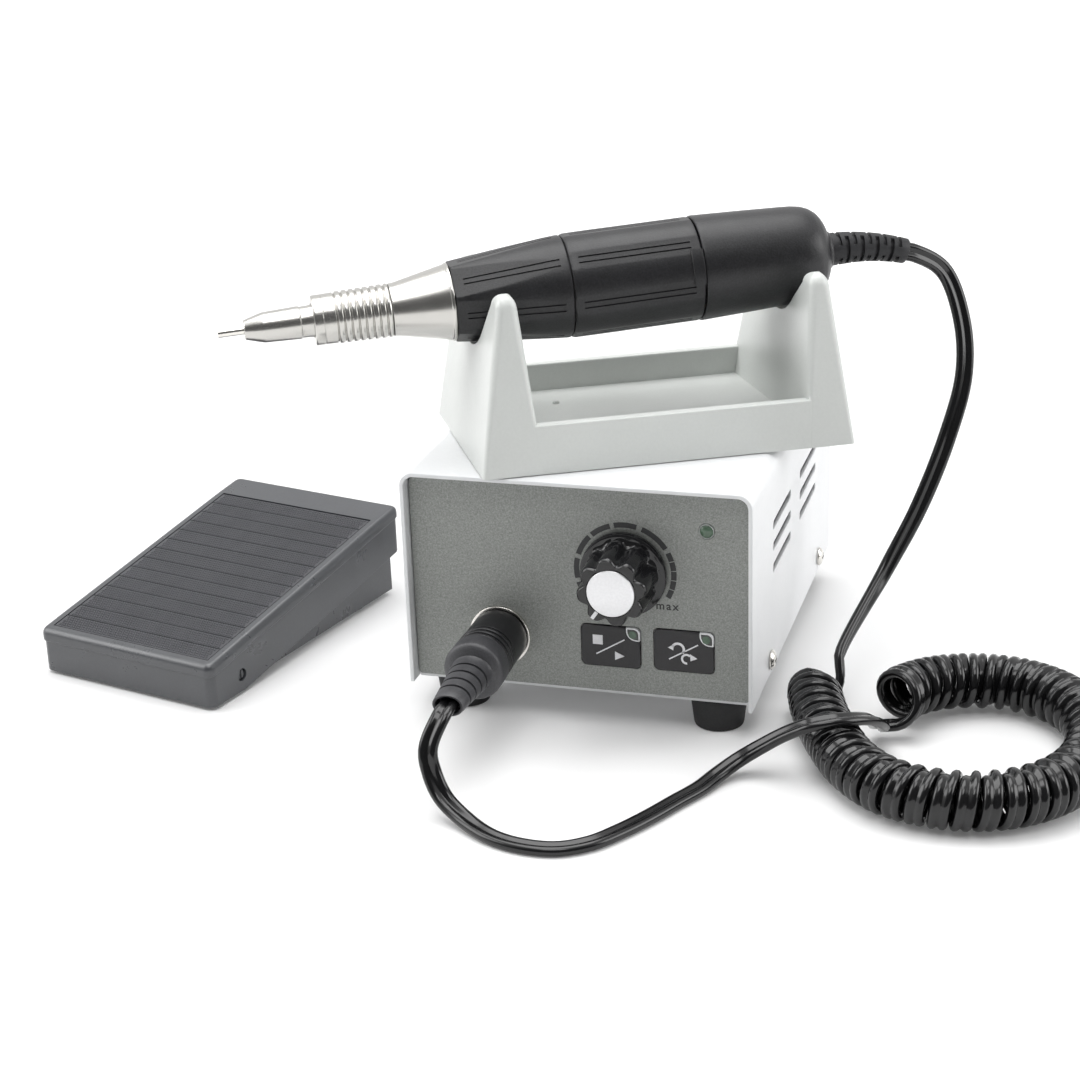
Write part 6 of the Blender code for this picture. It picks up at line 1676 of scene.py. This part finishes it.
def make_floor():
    """White floor that keeps the object's soft shadow, and reads as white where it is lit."""
    half = 6.0
    mesh = bpy.data.meshes.new("floor")
    mesh.from_pydata([(-half, -floor_near, 0), (half, -floor_near, 0), (half, half, 0), (-half, half, 0)], [],
                     [(0, 1, 2, 3)])
    floor = new_object("floor", mesh)
    made = bpy.data.materials.new("floor_white")
    made.use_nodes = True
    tree = Tree(made.node_tree.nodes, made.node_tree.links)
    shader = made.node_tree.nodes["Principled BSDF"]
    shader.inputs["Base Color"].default_value = (0.8, 0.8, 0.8, 1)
    shader.inputs["Roughness"].default_value = 0.7
    shader.inputs["Specular IOR Level"].default_value = 0.2
    path = tree.add("ShaderNodeLightPath").outputs
    seen = tree.maths("MAXIMUM", path["Is Camera Ray"],
                      tree.maths("MAXIMUM", path["Is Glossy Ray"], path["Is Transmission Ray"]))
    shader.inputs["Emission Color"].default_value = (1, 1, 1, 1)
    away = tree.nodes.new("ShaderNodeVectorMath")
    away.operation = "LENGTH"
    tree.links.new(tree.add("ShaderNodeTexCoord").outputs["Object"], away.inputs[0])
    glow = tree.span(away.outputs["Value"], *floor_reach, floor_glow, 1.0)
    tree.links.new(tree.maths("MULTIPLY", seen, glow), shader.inputs["Emission Strength"])
    mesh.materials.append(made)


def make_world():
    """White all round, with the dim room behind the camera that metal and gloss also show."""
    world = bpy.data.worlds.new("studio")
    scene.world = world
    world.use_nodes = True
    tree = Tree(world.node_tree.nodes, world.node_tree.links)
    background = world.node_tree.nodes["Background"]
    path = tree.add("ShaderNodeLightPath").outputs
    direction = tree.add("ShaderNodeTexCoord").outputs["Generated"]
    way = tree.add("ShaderNodeSeparateXYZ", Vector=direction).outputs
    toward = Vector((-camera_ahead.x, -camera_ahead.y)).normalized()
    ahead = tree.maths("ADD", tree.maths("MULTIPLY", way["X"], toward.x),
                       tree.maths("MULTIPLY", way["Y"], toward.y))
    zone = tree.maths("MULTIPLY", tree.span(ahead, *room_from_side, 0.0, 1.0),
                      tree.span(way["Z"], *room_up_to, 1.0, 0.0))
    shade = tree.span(zone, 0.0, 1.0, 1.0, room_shade)
    glossy = tree.maths("MULTIPLY", path["Is Glossy Ray"], shade)
    seen = tree.maths("MAXIMUM", path["Is Camera Ray"], path["Is Transmission Ray"])
    direct = tree.maths("MAXIMUM", seen, glossy)
    is_direct = tree.maths("MAXIMUM", seen, path["Is Glossy Ray"])
    other = tree.maths("MULTIPLY", tree.maths("SUBTRACT", 1.0, is_direct),
                       tree.maths("MULTIPLY", shade, world_strength))
    background.inputs["Color"].default_value = (1, 1, 1, 1)
    tree.links.new(tree.maths("ADD", direct, other), background.inputs["Strength"])


def area_lamp(name, place, aim, size, power):
    data = bpy.data.lights.new(name, "AREA")
    data.shape = "RECTANGLE"
    data.size, data.size_y = size
    data.energy = power
    item = bpy.data.objects.new(name, data)
    scene.collection.objects.link(item)
    away = Vector(place) - Vector(aim)
    item.matrix_world = Matrix.Translation(place) @ away.to_track_quat("Z", "Y").to_matrix().to_4x4()


floor_glow = 0.10
floor_reach, floor_near = (0.3, 1.1), 0.8
world_strength = 0.55
room_from_side, room_up_to, room_shade = (0.15, 0.6), (0.74, 0.86), 0.13
make_floor()
make_world()
area_lamp("top_softbox", (-0.1, 0.15, 1.3), (0, 0, 0.05), (1.2, 1.0), 14)
area_lamp("left_softbox", (-1.2, -0.3, 0.8), (0, 0, 0.05), (0.9, 0.9), 9)
area_lamp("right_softbox", (1.3, 0.1, 0.6), (0, 0, 0.05), (0.9, 0.7), 7)
area_lamp("front_softbox", (0.2, -0.75, 1.4), (0, 0, 0.05), (0.8, 0.5), 5)

scene.view_settings.view_transform = "Standard"
